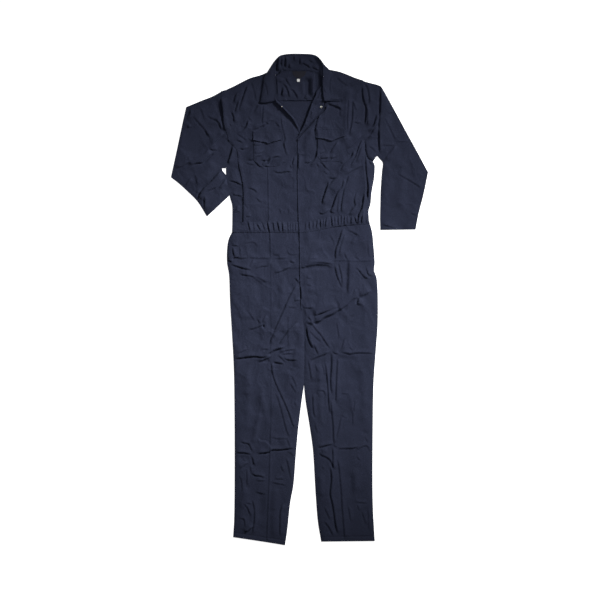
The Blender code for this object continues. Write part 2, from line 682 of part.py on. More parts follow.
def build_fronts(cloth: bpy.types.Material) -> None:
    """The two fronts, the waistband's fronts and the trouser fronts."""
    left_hole, right_hole = armhole(SLEEVE_LEFT[0], -1), armhole(SLEEVE_RIGHT[0], 1)
    sheet(
        "front_left",
        joined(
            FRONT_EDGE_LEFT, [Pt(12, 588), Pt(30, 565)], underlap_edge(540, 282),
            WAIST_TOP_LEFT[:0:-1], SIDE_SEAM_LEFT[::-1], left_hole[::-1], SHOULDER_LEFT[::-1],
        ),
        left_level,
        cloth,
    )
    sheet(
        "front_right",
        joined(
            ROLL_LINE, CENTRE_BODICE, WAIST_TOP_RIGHT[:-1], SIDE_SEAM_RIGHT[::-1], right_hole[::-1],
            SHOULDER_RIGHT[::-1],
        ),
        right_level,
        cloth,
    )
    sheet(
        "front_waistband_left",
        joined(WAIST_TOP_LEFT[1:], underlap_edge(282, 245), WAIST_FOOT_LEFT[:0:-1], BAND_END_LEFT[::-1]),
        left_level,
        cloth,
    )
    sheet(
        "front_waistband_right",
        joined(WAIST_TOP_RIGHT[:-1], BAND_END_RIGHT, WAIST_FOOT_RIGHT[-2::-1]),
        right_level,
        cloth,
    )
    sheet(
        "trouser_front_left",
        joined(
            WAIST_FOOT_LEFT, underlap_edge(245, 20), [Pt(30, -5), CENTRE_FLY[-1]], CROTCH,
            INSEAM_TOUCHING, INSEAM_LEFT, HEM_LEFT[::-1], OUTSEAM_LEFT[::-1],
        ),
        left_level,
        cloth,
    )
    sheet(
        "trouser_front_right",
        joined(
            WAIST_FOOT_RIGHT, OUTSEAM_RIGHT, HEM_RIGHT, INSEAM_RIGHT[::-1], INSEAM_TOUCHING[::-1],
            CROTCH[::-1], CENTRE_FLY[::-1],
        ),
        right_level,
        cloth,
    )


def build_collar(cloth: bpy.types.Material) -> None:
    """The collar's stand, its fall under the back and on both fronts, and the turned-back lapel."""
    sheet("collar_stand", joined(COLLAR_ROLL, NECK_SEAM[::-1]), back_level, cloth, COLLAR_WALL)
    under = [*[point for point in COLLAR_OUTER_LEFT[3::-1]], Pt(0, 885), *COLLAR_OUTER_RIGHT[:4]]
    turned_under = joined(under, COLLAR_UNDER_FOOT)
    sheet("collar_fall_under", turned_under, floor_level, cloth, COLLAR_WALL, on_lattice=False)
    sheet(
        "collar_fall_left",
        joined(COLLAR_OUTER_LEFT, COLLAR_FOOT_LEFT, COLLAR_INNER_LEFT),
        raised(left_level, 1),
        cloth,
        COLLAR_WALL,
    )
    sheet(
        "collar_fall_right",
        joined(COLLAR_OUTER_RIGHT, COLLAR_FOOT_RIGHT, COLLAR_END_RIGHT, COLLAR_INNER_RIGHT),
        raised(right_level, 1),
        cloth,
        COLLAR_WALL,
    )
    sheet(
        "lapel_right",
        joined(LAPEL_EDGE, COLLAR_END_RIGHT[1:], ROLL_LINE[1:]),
        raised(right_level, 1),
        cloth,
    )
    rolled = [*FRONT_EDGE_LEFT[2:-1], Pt(-4, 618)]
    sheet("facing_left", strip_along(rolled, EDGE_STRIP), raised(left_level, 1), cloth)


def build_trim(cloth: bpy.types.Material, tape: bpy.types.Material, steel: bpy.types.Material) -> None:
    """Pockets, flaps, hip tab, press studs, neck patch and the small tag below it."""
    for side, bag, flap, level in (
        ("left", BAG_LEFT, FLAP_LEFT, left_level),
        ("right", BAG_RIGHT, FLAP_RIGHT, right_level),
    ):
        drop = FLAP_STITCH / MM
        lowered = [Pt(bag[0].x, bag[0].y - drop), *bag[1:-1], Pt(bag[-1].x, bag[-1].y - drop)]
        sheet(f"chest_pocket_{side}", joined(lowered), raised(level, 1), cloth)
        sheet(f"pocket_flap_{side}", joined(flap), raised(level, 2), cloth)
    sheet("hip_tab_left", joined(HIP_TAB), raised(left_level, 1), cloth)
    disc("press_stud_lapel", STUD_AT, STUD_RADIUS, raised(right_level, 2), steel)
    disc("press_stud_edge", SOCKET_AT, SOCKET_RADIUS, raised(left_level, 2), steel)
    sheet("neck_patch", half_disc(LABEL_AT, LABEL_RADIUS), raised(back_level, 1), cloth)
    sheet("neck_tag", box_outline(TAG_AT, TAG_WIDTH, TAG_HEIGHT), raised(back_level, 1), tape)


def main() -> None:
    """Clears the scene and builds the garment from the layer on the surface up."""
    for leftover in list(bpy.data.objects):
        bpy.data.objects.remove(leftover)
    cloth = material("navy_polycotton_twill", (0.022, 0.026, 0.047), 0.82)
    tape = material("white_woven_tape", (0.75, 0.75, 0.73), 0.8)
    steel = material("nickel_plated_brass", (0.66, 0.65, 0.63), 0.32, 1.0)
    build_back(cloth)
    build_fronts(cloth)
    sleeve("sleeve_left", SLEEVE_LEFT, -1, cloth)
    sleeve("sleeve_right", SLEEVE_RIGHT, 1, cloth)
    build_collar(cloth)
    build_trim(cloth, tape, steel)


main()
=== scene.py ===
"""A boiler suit in navy twill, laid out flat and face up on a pale floor.

Left and right are as seen from above. Lengths are in millimetres unless a name says otherwise.
The outlines are in millimetres and the crease tables in centimetres, from the middle of the suit.
Blender itself gets metres.
"""

import logging
import math
from collections.abc import Callable, Sequence
from dataclasses import dataclass, field
from enum import Enum
import bmesh
import bpy
import numpy as np
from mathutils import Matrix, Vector
from mathutils.geometry import delaunay_2d_cdt
from mathutils.kdtree import KDTree


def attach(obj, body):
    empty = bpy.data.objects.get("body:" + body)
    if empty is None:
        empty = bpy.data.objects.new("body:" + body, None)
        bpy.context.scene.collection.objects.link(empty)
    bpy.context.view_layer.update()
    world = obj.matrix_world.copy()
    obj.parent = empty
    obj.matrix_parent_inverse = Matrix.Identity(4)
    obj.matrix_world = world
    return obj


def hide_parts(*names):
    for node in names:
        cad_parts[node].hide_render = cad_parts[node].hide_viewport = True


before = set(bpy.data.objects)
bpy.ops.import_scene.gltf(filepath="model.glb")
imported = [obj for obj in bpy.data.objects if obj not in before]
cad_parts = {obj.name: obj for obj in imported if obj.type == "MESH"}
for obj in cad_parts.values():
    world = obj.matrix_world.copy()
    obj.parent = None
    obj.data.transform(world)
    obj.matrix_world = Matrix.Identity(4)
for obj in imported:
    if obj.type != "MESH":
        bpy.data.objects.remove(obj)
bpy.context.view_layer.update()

LOG = logging.getLogger("boiler_suit")

MM = 0.001
CM = 10.0  # millimetres
WALL = 1.0  # cloth, thicker than real twill
RIDE = "root"
FINE = 2.6  # between the points of cloth with small creases
MEDIUM = 3.1
PLAIN = 9.0  # between the points of cloth that lies hidden
FLOOR_GAP = 0.05
LIT_FROM = np.array([0.695, 0.719])  # across the floor, towards the key light

Points = np.ndarray
Heights = np.ndarray
Surface = Callable[[Points], Heights]


# ---------------------------------------------------------------- lines


def path(text: str, unit: float = 1.0) -> Points:
    """The points of a line written as x,y pairs.

    Args:
        text: The pairs, with spaces between them.
        unit: How many millimetres one unit of the text is.

    Returns:
        One row for each point, in millimetres.
    """
    return np.array([[float(number) for number in pair.split(",")] for pair in text.split()]) * unit


def smooth(points: Points, step: float = MEDIUM) -> Points:
    """A smooth line through some points.

    Args:
        points: What the line passes through.
        step: About how far apart the line's own points are.

    Returns:
        The points of the line, with the given ones among them.
    """
    padded = np.vstack([2 * points[0] - points[1], points, 2 * points[-1] - points[-2]])
    stretches = []
    for a, b, c, d in zip(padded, padded[1:], padded[2:], padded[3:]):
        before, here, after = (
            math.sqrt(max(float(np.linalg.norm(q - p)), 1e-6)) for p, q in ((a, b), (b, c), (c, d))
        )
        leave = ((b - a) / before - (c - a) / (before + here) + (c - b) / here) * here
        arrive = ((c - b) / here - (d - b) / (here + after) + (d - c) / after) * here
        count = max(1, math.ceil(here * here / step))
        t = (np.arange(count) / count)[:, None]
        stretches.append(
            (2 * t**3 - 3 * t**2 + 1) * b
            + (t**3 - 2 * t**2 + t) * leave
            + (3 * t**2 - 2 * t**3) * c
            + (t**3 - t**2) * arrive
        )
    return np.vstack([*stretches, points[-1:]])


def drawn(text: str, step: float = MEDIUM) -> Points:
    """A line that is smooth but for the corners written as | after a point."""
    first, *others = text.split("|")
    line = path(first)
    line = smooth(line, step) if len(line) > 1 else line
    for stretch in others:
        line = np.vstack([line, smooth(np.vstack([line[-1:], path(stretch)]), step)[1:]])
    return line


def joined(*lines: Points) -> Points:
    """The closed outline that several lines make end to end, without its doubled points."""
    points = np.vstack(lines)
    keep = np.linalg.norm(points - np.roll(points, 1, axis=0), axis=1) > 0.6
    return points[keep]


def beside(line: Points, distance: float) -> Points:
    """The line moved sideways, to its left where distance is above 0."""
    along = np.gradient(line, axis=0)
    along /= np.maximum(np.linalg.norm(along, axis=1), 1e-9)[:, None]
    return line + distance * np.stack([-along[:, 1], along[:, 0]], axis=1)


def evenly(line: Points, step: float) -> Points:
    """The line again, with its points the same distance apart."""
    run = np.concatenate([[0.0], np.cumsum(np.linalg.norm(np.diff(line, axis=0), axis=1))])
    at = np.linspace(0.0, run[-1], max(2, round(run[-1] / step) + 1))
    return np.stack([np.interp(at, run, line[:, 0]), np.interp(at, run, line[:, 1])], axis=1)


def bowed(start: Points, end: Points, bow: float, step: float = MEDIUM) -> Points:
    """A curve between two points whose middle stands off to the left of the way from start to end."""
    middle = (start + end) / 2
    across = np.array([start[1] - end[1], end[0] - start[0]])
    middle = middle + across / np.linalg.norm(across) * bow
    return smooth(np.array([start, middle, end]), step)


def away_from(points: Points, line: Points) -> Heights:
    """How far each point is from the nearest point of a line."""
    tree = KDTree(len(line))
    for index, (x, y) in enumerate(line):
        tree.insert((x, y, 0.0), index)
    tree.balance()
    return np.array([tree.find((x, y, 0.0))[2] for x, y in points.tolist()])


def within(points: Points, outline: Points) -> np.ndarray:
    """Whether each point is inside a closed outline."""
    found = np.zeros(len(points), bool)
    x, y = points[:, 0], points[:, 1]
    for (ax, ay), (bx, by) in zip(outline, np.roll(outline, -1, axis=0)):
        if ay != by:
            found ^= ((ay > y) != (by > y)) & (x < (bx - ax) * (y - ay) / (by - ay) + ax)
    return found


def flat_cut(outline: Points) -> tuple[float, float, float]:
    """Measures the cloth that a piece is cut from.

    Args:
        outline: The piece's closed outline.

    Returns:
        The sides of the smallest rectangle round it, and its own area, all in metres.
    """
    x, y = outline.T * MM
    area = abs(float(np.dot(x, np.roll(y, -1)) - np.dot(y, np.roll(x, -1)))) / 2
    best = (math.inf, 0.0, 0.0)
    for turn in np.radians(np.arange(0, 90, 3)):
        across = np.ptp(x * math.cos(turn) + y * math.sin(turn))
        along = np.ptp(y * math.cos(turn) - x * math.sin(turn))
        best = min(best, (float(across * along), float(across), float(along)))
    return min(best[1:]), max(best[1:]), area


# ---------------------------------------------------------------- creases


class Fold(Enum):
    """How cloth bends at a crease, seen across it."""

    FOLD = "fold"  # a wrinkle, steep on the side away from the light and easy on the other
    BACK = "back"  # the same, steep on the side towards the light
    WAVE = "wave"  # a soft swell
    DIP = "dip"  # a narrow hollow
    PRESS = "press"  # a pressed edge
    RISE = "rise"  # an edge that stands up, with a long return on both sides
    PUCKER = "pucker"  # small waves along a seam; the width is from wave to wave


@dataclass(frozen=True)
class Crease:
    """One crease: its kind, its height, its width, and where it runs."""

    fold: Fold
    height: float
    width: float
    line: Points

    @classmethod
    def read(cls, row: str) -> "Crease":
        """The crease that a row of a table says: kind, height, width and points in centimetres."""
        kind, height, width, *points = row.split()
        line = smooth(path(" ".join(points), CM), 5.0)
        way = line[-1] - line[0]
        if LIT_FROM[1] * way[0] - LIT_FROM[0] * way[1] < 0:
            line = line[::-1]
        return cls(Fold(kind), float(height), float(width), line)

    def across(self, off: Heights, run: Heights) -> Heights:
        """The crease's shape.

        Args:
            off: How far points are from its line, above 0 towards the light.
            run: How far along the line they are.

        Returns:
            Their heights as a share of the crease's own.
        """
        far = np.abs(off)
        if self.fold in (Fold.FOLD, Fold.BACK):
            steep = 0.75 + 0.26 * self.width
            easy = 0.68 * self.width
            side = off - 0.8 * steep if self.fold is Fold.FOLD else -off
            far = np.abs(side)
            lit = (1 + far / easy) * np.exp(-far / easy)
            dark = np.exp(-((far / steep) ** 2)) - 0.4 * np.exp(-(((far - 2.0 * steep) / (1.1 * steep)) ** 2))
            dark += 0.4 * np.exp(-((2.0 / 1.1) ** 2)) * np.exp(-far / steep)
            return np.where(side >= 0, lit, dark)
        if self.fold is Fold.WAVE:
            return np.exp(-((far / self.width) ** 2))
        if self.fold is Fold.DIP:
            return -np.exp(-((far / self.width) ** 2))
        if self.fold is Fold.PRESS:
            return np.exp(-far / self.width)
        if self.fold is Fold.RISE:
            return (1 + far / self.width) * np.exp(-far / self.width)
        wander = 0.9 * np.sin(run / (2.9 * self.width)) + 0.7 * np.sin(run / (1.3 * self.width) + 1.0)
        waves = np.sin(run * 2 * math.pi / self.width + 2.2 * wander)
        return waves * (0.75 + 0.25 * wander) * np.exp(-((far / (0.75 * self.width)) ** 2))

    def rise(self) -> Heights:
        """Its height at each of its legs, more where it runs towards the light and would show less."""
        leg = np.diff(self.line, axis=0)
        turned = np.abs(LIT_FROM[1] * leg[:, 0] - LIT_FROM[0] * leg[:, 1]) / np.linalg.norm(leg, axis=1)
        more = np.maximum(turned, 0.45) ** -0.95
        more = np.convolve(np.pad(more, 3, "edge"), np.full(7, 1 / 7), "valid")
        return math.copysign(0.92 * abs(self.height) ** 0.7, self.height) * more

    def reach(self) -> float:
        """How far to its sides the crease still shows."""
        return 5.5 * self.width if self.fold in (Fold.FOLD, Fold.BACK, Fold.RISE, Fold.PRESS) else 3.2 * self.width

    def taper(self, length: float) -> float:
        """How long each of the crease's two fading ends is."""
        if self.fold in (Fold.DIP, Fold.PRESS, Fold.PUCKER):
            return min(0.2 * length, 8.0)
        return min(0.36 * length, 9.0 + 1.4 * self.width)

    def add_to(self, heights: Heights, xy: Points, strength: float) -> None:
        """Adds the crease to the heights of the points that it reaches."""
        low, high = self.line.min(axis=0) - self.reach(), self.line.max(axis=0) + self.reach()
        near = np.flatnonzero(((xy > low) & (xy < high)).all(axis=1))
        start, leg = self.line[:-1], np.diff(self.line, axis=0)
        length = np.linalg.norm(leg, axis=1)
        run = np.concatenate([[0.0], np.cumsum(length)])
        for part in np.array_split(near, max(1, len(near) * len(leg) // 2_000_000)):
            if not len(part):
                continue
            offset = xy[part, None, :] - start
            t = np.clip((offset * leg).sum(axis=2) / length**2, 0, 1)
            off = offset - t[..., None] * leg
            nearest = (off**2).sum(axis=2).argmin(axis=1)
            row = np.arange(len(part))
            distance = np.linalg.norm(off[row, nearest], axis=1)
            cross = leg[nearest, 0] * offset[row, nearest, 1] - leg[nearest, 1] * offset[row, nearest, 0]
            along = run[nearest] + t[row, nearest] * length[nearest]
            end = np.minimum(along, run[-1] - along) / self.taper(run[-1])
            end = np.clip(end, 0, 1)
            fade = end * end * (3 - 2 * end)
            tall = strength * self.rise()[nearest]
            heights[part] += tall * fade * self.across(np.copysign(distance, cross), along)


class Relief:
    """The creases of one stretch of cloth."""

    def __init__(self, table: str, strength: float = 1.0) -> None:
        """Reads the creases.

        Args:
            table: One row for each crease; a row that starts with # is a comment.
            strength: What all their heights are multiplied by.
        """
        rows = (row.strip() for row in table.splitlines())
        self.creases = [Crease.read(row) for row in rows if row and not row.startswith("#")]
        self.strength = strength

    def __call__(self, xy: Points) -> Heights:
        """The height that the creases add at each point."""
        heights = np.zeros(len(xy))
        for crease in self.creases:
            crease.add_to(heights, xy, self.strength)
        return heights


def rumple(xy: Points, size: float, seed: int) -> Heights:
    """Smooth random heights from -1 to 1, with hollows about a size across, the same on each run."""
    table = np.random.default_rng(seed).random((64, 64)) * 2 - 1
    place = xy / size + 400.0
    cell = np.floor(place).astype(int)
    share = place - cell
    share = share**3 * (share * (share * 6 - 15) + 10)
    (i, j), (u, v) = (cell % 64).T, share.T
    right, up = (i + 1) % 64, (j + 1) % 64
    low = table[i, j] * (1 - u) + table[right, j] * u
    high = table[i, up] * (1 - u) + table[right, up] * u
    return low * (1 - v) + high * v


def lower(a: Heights, b: Heights | float, ease: float = 0.5) -> Heights:
    """The lower of two heights, eased where they are about the same."""
    return -higher(-a, -b, ease)


def unevenness(xy: Points, seed: int) -> Heights:
    """How cloth lies unevenly all over: soft swells, fine hollows, and a net of faint sharp wrinkles."""
    warp = np.stack([rumple(xy, 46.0, seed + 1), rumple(xy, 46.0, seed + 2)], axis=1)
    bent = xy + 16.0 * warp
    swells = 2.2 * rumple(xy, 80.0, seed) + 2.0 * rumple(bent * (1.2, 0.9), 40.0, seed + 20)
    swells += 1.2 * rumple(bent, 24.0, seed + 40)
    fine = 0.42 * rumple(bent * (1.5, 0.9), 10.0, seed + 80)
    nets = [(1 - np.abs(rumple(bent * (1.4, 0.75), size, seed + 7))) ** 6 for size in (56.0, 25.0)]
    return swells + fine + 1.2 * nets[0] + 0.7 * nets[1] - 0.5


def higher(a: Heights, b: Heights | float, ease: float = 0.5) -> Heights:
    """The higher of two heights, eased where they are about the same."""
    return (a + b + np.sqrt((a - b) ** 2 + ease**2)) / 2


@dataclass
class Laid:
    """The upper side of a cloth that lies on something.

    It is a surface: called with points, it gives their heights.
    """

    under: Surface  # the upper side of what it lies on
    relief: Relief
    level: float = 2.3  # its upper side where it lies pressed flat on one other cloth
    air: float = 3.4  # how much higher it lies away from its folded edges
    edges: Points | None = None  # where it is folded or sewn down flat
    ease: float = 12.0  # how fast it rises from those edges
    wall: float = WALL
    seed: int = 1
    rumpled: float = 0.75
    ceiling: float = 12.5

    def __call__(self, xy: Points) -> Heights:
        """The height of the cloth's upper side at each point."""
        if self.edges is None:
            off = np.full(len(xy), 1e3)
        else:
            off = away_from(xy, self.edges)
        uneven = self.rumpled * unevenness(xy, self.seed) * (0.38 + 0.62 * between(xy[:, 1], -520, -220))
        risen = self.air * (1 - np.exp(-off / self.ease))
        bent = (self.relief(xy) + uneven) * (1 - np.exp(-off / 7.0))
        own = lower(self.level + higher(risen + bent, 0.0), self.ceiling, 1.5)
        return higher(own, self.under(xy) + self.wall + 0.35)


@dataclass
class OnTop:
    """The upper side of a small piece sewn on a larger cloth, which follows it."""

    under: Surface
    wall: float = WALL
    gap: float = 0.15
    extra: Surface | None = None

    def __call__(self, xy: Points) -> Heights:
        """The height of the piece's upper side at each point."""
        heights = self.under(xy) + self.wall + self.gap
        return heights if self.extra is None else heights + np.maximum(self.extra(xy), -0.5 * self.gap)


def level_at(height: float) -> Surface:
    """A flat surface at one height."""
    return lambda xy: np.full(len(xy), height)


# ---------------------------------------------------------------- meshes


@dataclass(frozen=True)
class Net:
    """A flat net of triangles; its first rim points go once round its outline."""

    points: Points
    faces: np.ndarray
    rim: int


def net_of(outline: Points, pitch: float, finer: tuple[Points, float] | None = None) -> Net:
    """Fills an outline with triangles.

    Args:
        outline: The closed outline, whose points all stay.
        pitch: About how far apart the points inside are.
        finer: An area with a pitch of its own.

    Returns:
        The net.
    """
    areas = [(outline, pitch)] if finer is None else [(outline, pitch), finer]
    inner = []
    for index, (area, apart) in enumerate(areas):
        low, high = area.min(axis=0), area.max(axis=0)
        rows = np.arange(low[1], high[1], apart * math.sqrt(3) / 2)
        columns = np.arange(low[0], high[0], apart)
        grid = np.stack(np.meshgrid(columns, rows), axis=-1)
        grid[1::2, :, 0] += apart / 2
        spots = grid.reshape(-1, 2)
        spots = spots[within(spots, area) & within(spots, outline)]
        if index == 0 and finer is not None:
            spots = spots[~within(spots, finer[0])]
        inner.append(spots[away_from(spots, outline) > 0.55 * min(apart, 3.2)])
    points = np.vstack([outline, *inner])
    rim = len(outline)
    made = delaunay_2d_cdt([Vector(p) for p in points.tolist()], [], [list(range(rim))], 1, 1e-5)
    faces = np.array([face for face in made[2] if len(face) == 3])
    found = np.array([tuple(p) for p in made[0]])
    a, b, c = (found[faces[:, k]] for k in range(3))
    turn = (b[:, 0] - a[:, 0]) * (c[:, 1] - a[:, 1]) - (b[:, 1] - a[:, 1]) * (c[:, 0] - a[:, 0])
    faces[turn < 0] = faces[turn < 0][:, ::-1]
    if len(found) != len(points) or (turn == 0).any():
        raise ValueError("an outline crosses itself")
    return Net(found, faces, rim)


def new_object(name: str, points: Points, faces: np.ndarray, material: bpy.types.Material) -> bpy.types.Object:
    """Makes an object from points in millimetres and faces, smooth but for its cut edges."""
    mesh = bpy.data.meshes.new(name)
    mesh.from_pydata(points * MM, [], faces.tolist() if isinstance(faces, np.ndarray) else faces)
    mesh.shade_smooth()
    mesh.set_sharp_from_angle(angle=math.radians(70))
    mesh.materials.append(material)
    made = bpy.data.objects.new(name, mesh)
    bpy.context.scene.collection.objects.link(made)
    return made


@dataclass
class Ply:
    """One flat layer of a piece: its net, and the heights of its outer and inner side."""

    net: Net
    outer: Heights
    inner: Heights
    faces_up: bool = True
    shift: Points | None = None  # what the inner side's points are moved by

    def points(self) -> Points:
        """All the points, the outer side's first."""
        inner_flat = self.net.points if self.shift is None else self.net.points + self.shift
        return np.vstack(
            [np.column_stack([self.net.points, self.outer]), np.column_stack([inner_flat, self.inner])]
        )


def one_ply(name: str, net: Net, upper: Heights, wall: float, material: bpy.types.Material) -> bpy.types.Object:
    """A closed thin shell: the net at the given heights, with a wall below it."""
    count = len(net.points)
    points = Ply(net, upper, upper - wall).points()
    here = np.arange(net.rim)
    there = np.roll(here, -1)
    rim = np.vstack(
        [np.stack([here, there + count, there], axis=1), np.stack([here, here + count, there + count], axis=1)]
    )
    if signed_area(net.points[: net.rim]) < 0:
        rim = rim[:, ::-1]
    return new_object(name, points, np.vstack([net.faces, net.faces[:, ::-1] + count, rim]), material)


def signed_area(outline: Points) -> float:
    """The area of an outline, below 0 where it runs clockwise."""
    x, y = outline.T
    return float(np.dot(x, np.roll(y, -1)) - np.dot(y, np.roll(x, -1))) / 2


def folded_plies(
    name: str, bottom: Ply, tops: Sequence[Ply], folds: Points, material: bpy.types.Material
) -> bpy.types.Object:
    """A closed thin shell that is folded over flat, such as a sleeve.

    Args:
        name: The object's name.
        bottom: The lowest layer.
        tops: The layers that are folded over onto it.
        folds: The points of the lines that it is folded at.
        material: Its finish.

    Returns:
        The object.
    """

    def spot(point: Points) -> tuple[float, float]:
        return round(float(point[0]), 2), round(float(point[1]), 2)

    fold_spots = {spot(p) for p in folds}
    plies = [bottom, *tops]
    starts = np.cumsum([0, *(2 * len(ply.net.points) for ply in plies)])
    under = {spot(p): i for i, p in enumerate(bottom.net.points[: bottom.net.rim])}
    faces: list[list[int]] = []
    used = set()
    for ply, start in zip(plies, starts):
        count = len(ply.net.points)
        up, down = ply.net.faces, ply.net.faces[:, ::-1]
        faces += ((up if ply.faces_up else down) + start).tolist()
        faces += ((down if ply.faces_up else up) + start + count).tolist()
    below = len(bottom.net.points)
    for ply, start in zip(tops, starts[1:]):
        count, rim = len(ply.net.points), ply.net.rim
        spots = [spot(p) for p in ply.net.points[:rim]]
        turned = [
            spots[i] in fold_spots and spots[(i + 1) % rim] in fold_spots
            and spots[i] in under and spots[(i + 1) % rim] in under
            and abs(under[spots[i]] - under[spots[(i + 1) % rim]]) in (1, bottom.net.rim - 1)
            for i in range(rim)
        ]
        for i in range(rim):
            j = (i + 1) % rim
            if turned[i]:
                a, b = under[spots[i]], under[spots[j]]
                used.add(frozenset((a, b)))
                faces.append([start + i, start + j, b, a])
                faces.append([start + count + j, start + count + i, below + a, below + b])
            else:
                faces.append([start + i, start + j, start + count + j, start + count + i])
            if turned[i] != turned[i - 1]:
                a = under[spots[i]]
                faces.append([start + i, start + count + i, below + a, a])
    for i in range(bottom.net.rim):
        j = (i + 1) % bottom.net.rim
        if frozenset((i, j)) not in used:
            faces.append([i, j, below + j, below + i])
    points = np.vstack([ply.points() for ply in plies])
    made = new_object(name, points, faces, material)
    shell = bmesh.new()
    shell.from_mesh(made.data)
    bmesh.ops.triangulate(shell, faces=[face for face in shell.faces if len(face.verts) > 3])
    bmesh.ops.recalc_face_normals(shell, faces=shell.faces)
    shell.to_mesh(made.data)
    shell.free()
    made.data.shade_smooth()
    made.data.set_sharp_from_angle(angle=math.radians(70))
    return made


def pulled_in(net: Net, folds: Points, wall: float) -> Points:
    """How the inner side's points move, so that it stays a wall inside the outer side at the folds."""
    shift = np.zeros_like(net.points)
    rim = net.points[: net.rim]
    along = np.roll(rim, -1, axis=0) - np.roll(rim, 1, axis=0)
    inward = np.stack([-along[:, 1], along[:, 0]], axis=1) * math.copysign(1, signed_area(rim))
    inward /= np.maximum(np.linalg.norm(inward, axis=1), 1e-9)[:, None]
    at_fold = away_from(rim, folds) < 0.1
    shift[: net.rim][at_fold] = wall * inward[at_fold]
    return shift


# ---------------------------------------------------------------- finishes


def linear(colour: str) -> tuple[float, float, float, float]:
    """The linear colour of an sRGB hex value such as #262a38."""
    parts = (int(colour[i : i + 2], 16) / 255 for i in (1, 3, 5))
    return (*(c / 12.92 if c <= 0.04045 else ((c + 0.055) / 1.055) ** 2.4 for c in parts), 1.0)


def add_node(tree: bpy.types.NodeTree, kind: str, sockets: dict | None = None, **settings: object) -> bpy.types.Node:
    """Adds a node.

    Args:
        tree: Where it goes.
        kind: Blender's name for it.
        sockets: A value, or another node's output to link, for each input by name or number.
        settings: Its own properties.

    Returns:
        The node.
    """
    node = tree.nodes.new(kind)
    for name, value in settings.items():
        setattr(node, name, value)
    for name, value in (sockets or {}).items():
        if isinstance(value, bpy.types.NodeSocket):
            tree.links.new(value, node.inputs[name])
        else:
            node.inputs[name].default_value = value
    return node


def wave_scale(size: float) -> float:
    """The Wave texture's scale whose bands are a size in millimetres apart."""
    return 2 * math.pi / (20 * size * MM)


@dataclass(frozen=True)
class Twill:
    """Polyester-cotton twill, woven and piece-dyed.

    The fine diagonal rib breaks up the light, the cotton's nap gives a faint dry sheen at the
    edges of each fold, and the dye is a little uneven and rubbed paler in specks.
    """

    name: str = "navy_polycotton_twill"
    dyed: str = "#272b3d"
    deep: str = "#222636"
    rubbed: str = "#343950"
    # The real rib is 0.5 mm from thread to thread; it is drawn three times as coarse, so that it shows.
    rib: float = 1.5
    speck: float = 2.6  # slubs in the yarn
    patch: float = 55.0  # unevenness of the dye
    rough: float = 0.85
    sheen: float = 0.10

    def material(self) -> bpy.types.Material:
        """Makes the finish."""
        made = bpy.data.materials.new(self.name)
        made.use_nodes = True
        tree = made.node_tree
        tree.nodes.clear()
        place = add_node(tree, "ShaderNodeTexCoord").outputs["Object"]
        patches = add_node(
            tree, "ShaderNodeTexNoise",
            {"Vector": place, "Scale": 1 / (self.patch * MM), "Detail": 2.0, "Roughness": 0.5},
        )
        slubs = add_node(
            tree, "ShaderNodeTexNoise",
            {"Vector": place, "Scale": 1 / (self.speck * MM), "Detail": 2.0, "Roughness": 0.6},
        )
        ribs = add_node(
            tree, "ShaderNodeTexWave",
            {"Vector": place, "Scale": wave_scale(self.rib), "Distortion": 0.6, "Detail": 1.0},
            bands_direction="DIAGONAL",
        )
        uneven = add_node(
            tree, "ShaderNodeMix",
            {0: patches.outputs["Fac"], 6: linear(self.deep), 7: linear(self.dyed)},
            data_type="RGBA",
        )
        specks = add_node(
            tree, "ShaderNodeMapRange",
            {"Value": slubs.outputs["Fac"], "From Min": 0.45, "From Max": 0.8, "To Max": 0.7},
        )
        colour = add_node(
            tree, "ShaderNodeMix",
            {0: specks.outputs["Result"], 6: uneven.outputs[2], 7: linear(self.rubbed)},
            data_type="RGBA",
        )
        weave = add_node(
            tree, "ShaderNodeMath",
            {0: slubs.outputs["Fac"], 1: ribs.outputs["Fac"]},
            operation="ADD",
        )
        bump = add_node(
            tree, "ShaderNodeBump",
            {"Height": weave.outputs["Value"], "Strength": 0.35, "Distance": 0.25 * MM},
        )
        shader = add_node(
            tree, "ShaderNodeBsdfPrincipled",
            {
                "Base Color": colour.outputs[2], "Roughness": self.rough, "Normal": bump.outputs["Normal"],
                "IOR": 1.5, "Specular IOR Level": 0.14, "Sheen Weight": self.sheen, "Sheen Roughness": 0.5,
                "Sheen Tint": linear("#8c93b0"),
            },
        )
        add_node(tree, "ShaderNodeOutputMaterial", {"Surface": shader.outputs["BSDF"]})
        return made


@dataclass(frozen=True)
class Plain:
    """A small part's finish: one colour with fine grain, dull or metallic."""

    name: str
    colour: str
    other: str
    grain: float
    rough: float
    metallic: float = 0.0
    sheen: float = 0.0
    shine: float = 0.5
    depth: float = 0.08

    def material(self) -> bpy.types.Material:
        """Makes the finish."""
        made = bpy.data.materials.new(self.name)
        made.use_nodes = True
        tree = made.node_tree
        tree.nodes.clear()
        place = add_node(tree, "ShaderNodeTexCoord").outputs["Object"]
        grain = add_node(
            tree, "ShaderNodeTexNoise",
            {"Vector": place, "Scale": 1 / (self.grain * MM), "Detail": 2.0, "Roughness": 0.55},
        )
        colour = add_node(
            tree, "ShaderNodeMix",
            {0: grain.outputs["Fac"], 6: linear(self.colour), 7: linear(self.other)},
            data_type="RGBA",
        )
        bump = add_node(
            tree, "ShaderNodeBump",
            {"Height": grain.outputs["Fac"], "Strength": 0.3, "Distance": self.depth * MM},
        )
        shader = add_node(
            tree, "ShaderNodeBsdfPrincipled",
            {
                "Base Color": colour.outputs[2], "Roughness": self.rough, "Metallic": self.metallic,
                "Normal": bump.outputs["Normal"], "Sheen Weight": self.sheen, "Specular IOR Level": self.shine,
            },
        )
        add_node(tree, "ShaderNodeOutputMaterial", {"Surface": shader.outputs["BSDF"]})
        return made


# Cotton-wrapped polyester thread, twisted and dyed: a shade paler and smoother than the twill.
THREAD = Plain("navy_polyester_thread", "#2b2f42", "#202434", 0.4, 0.75, shine=0.2)
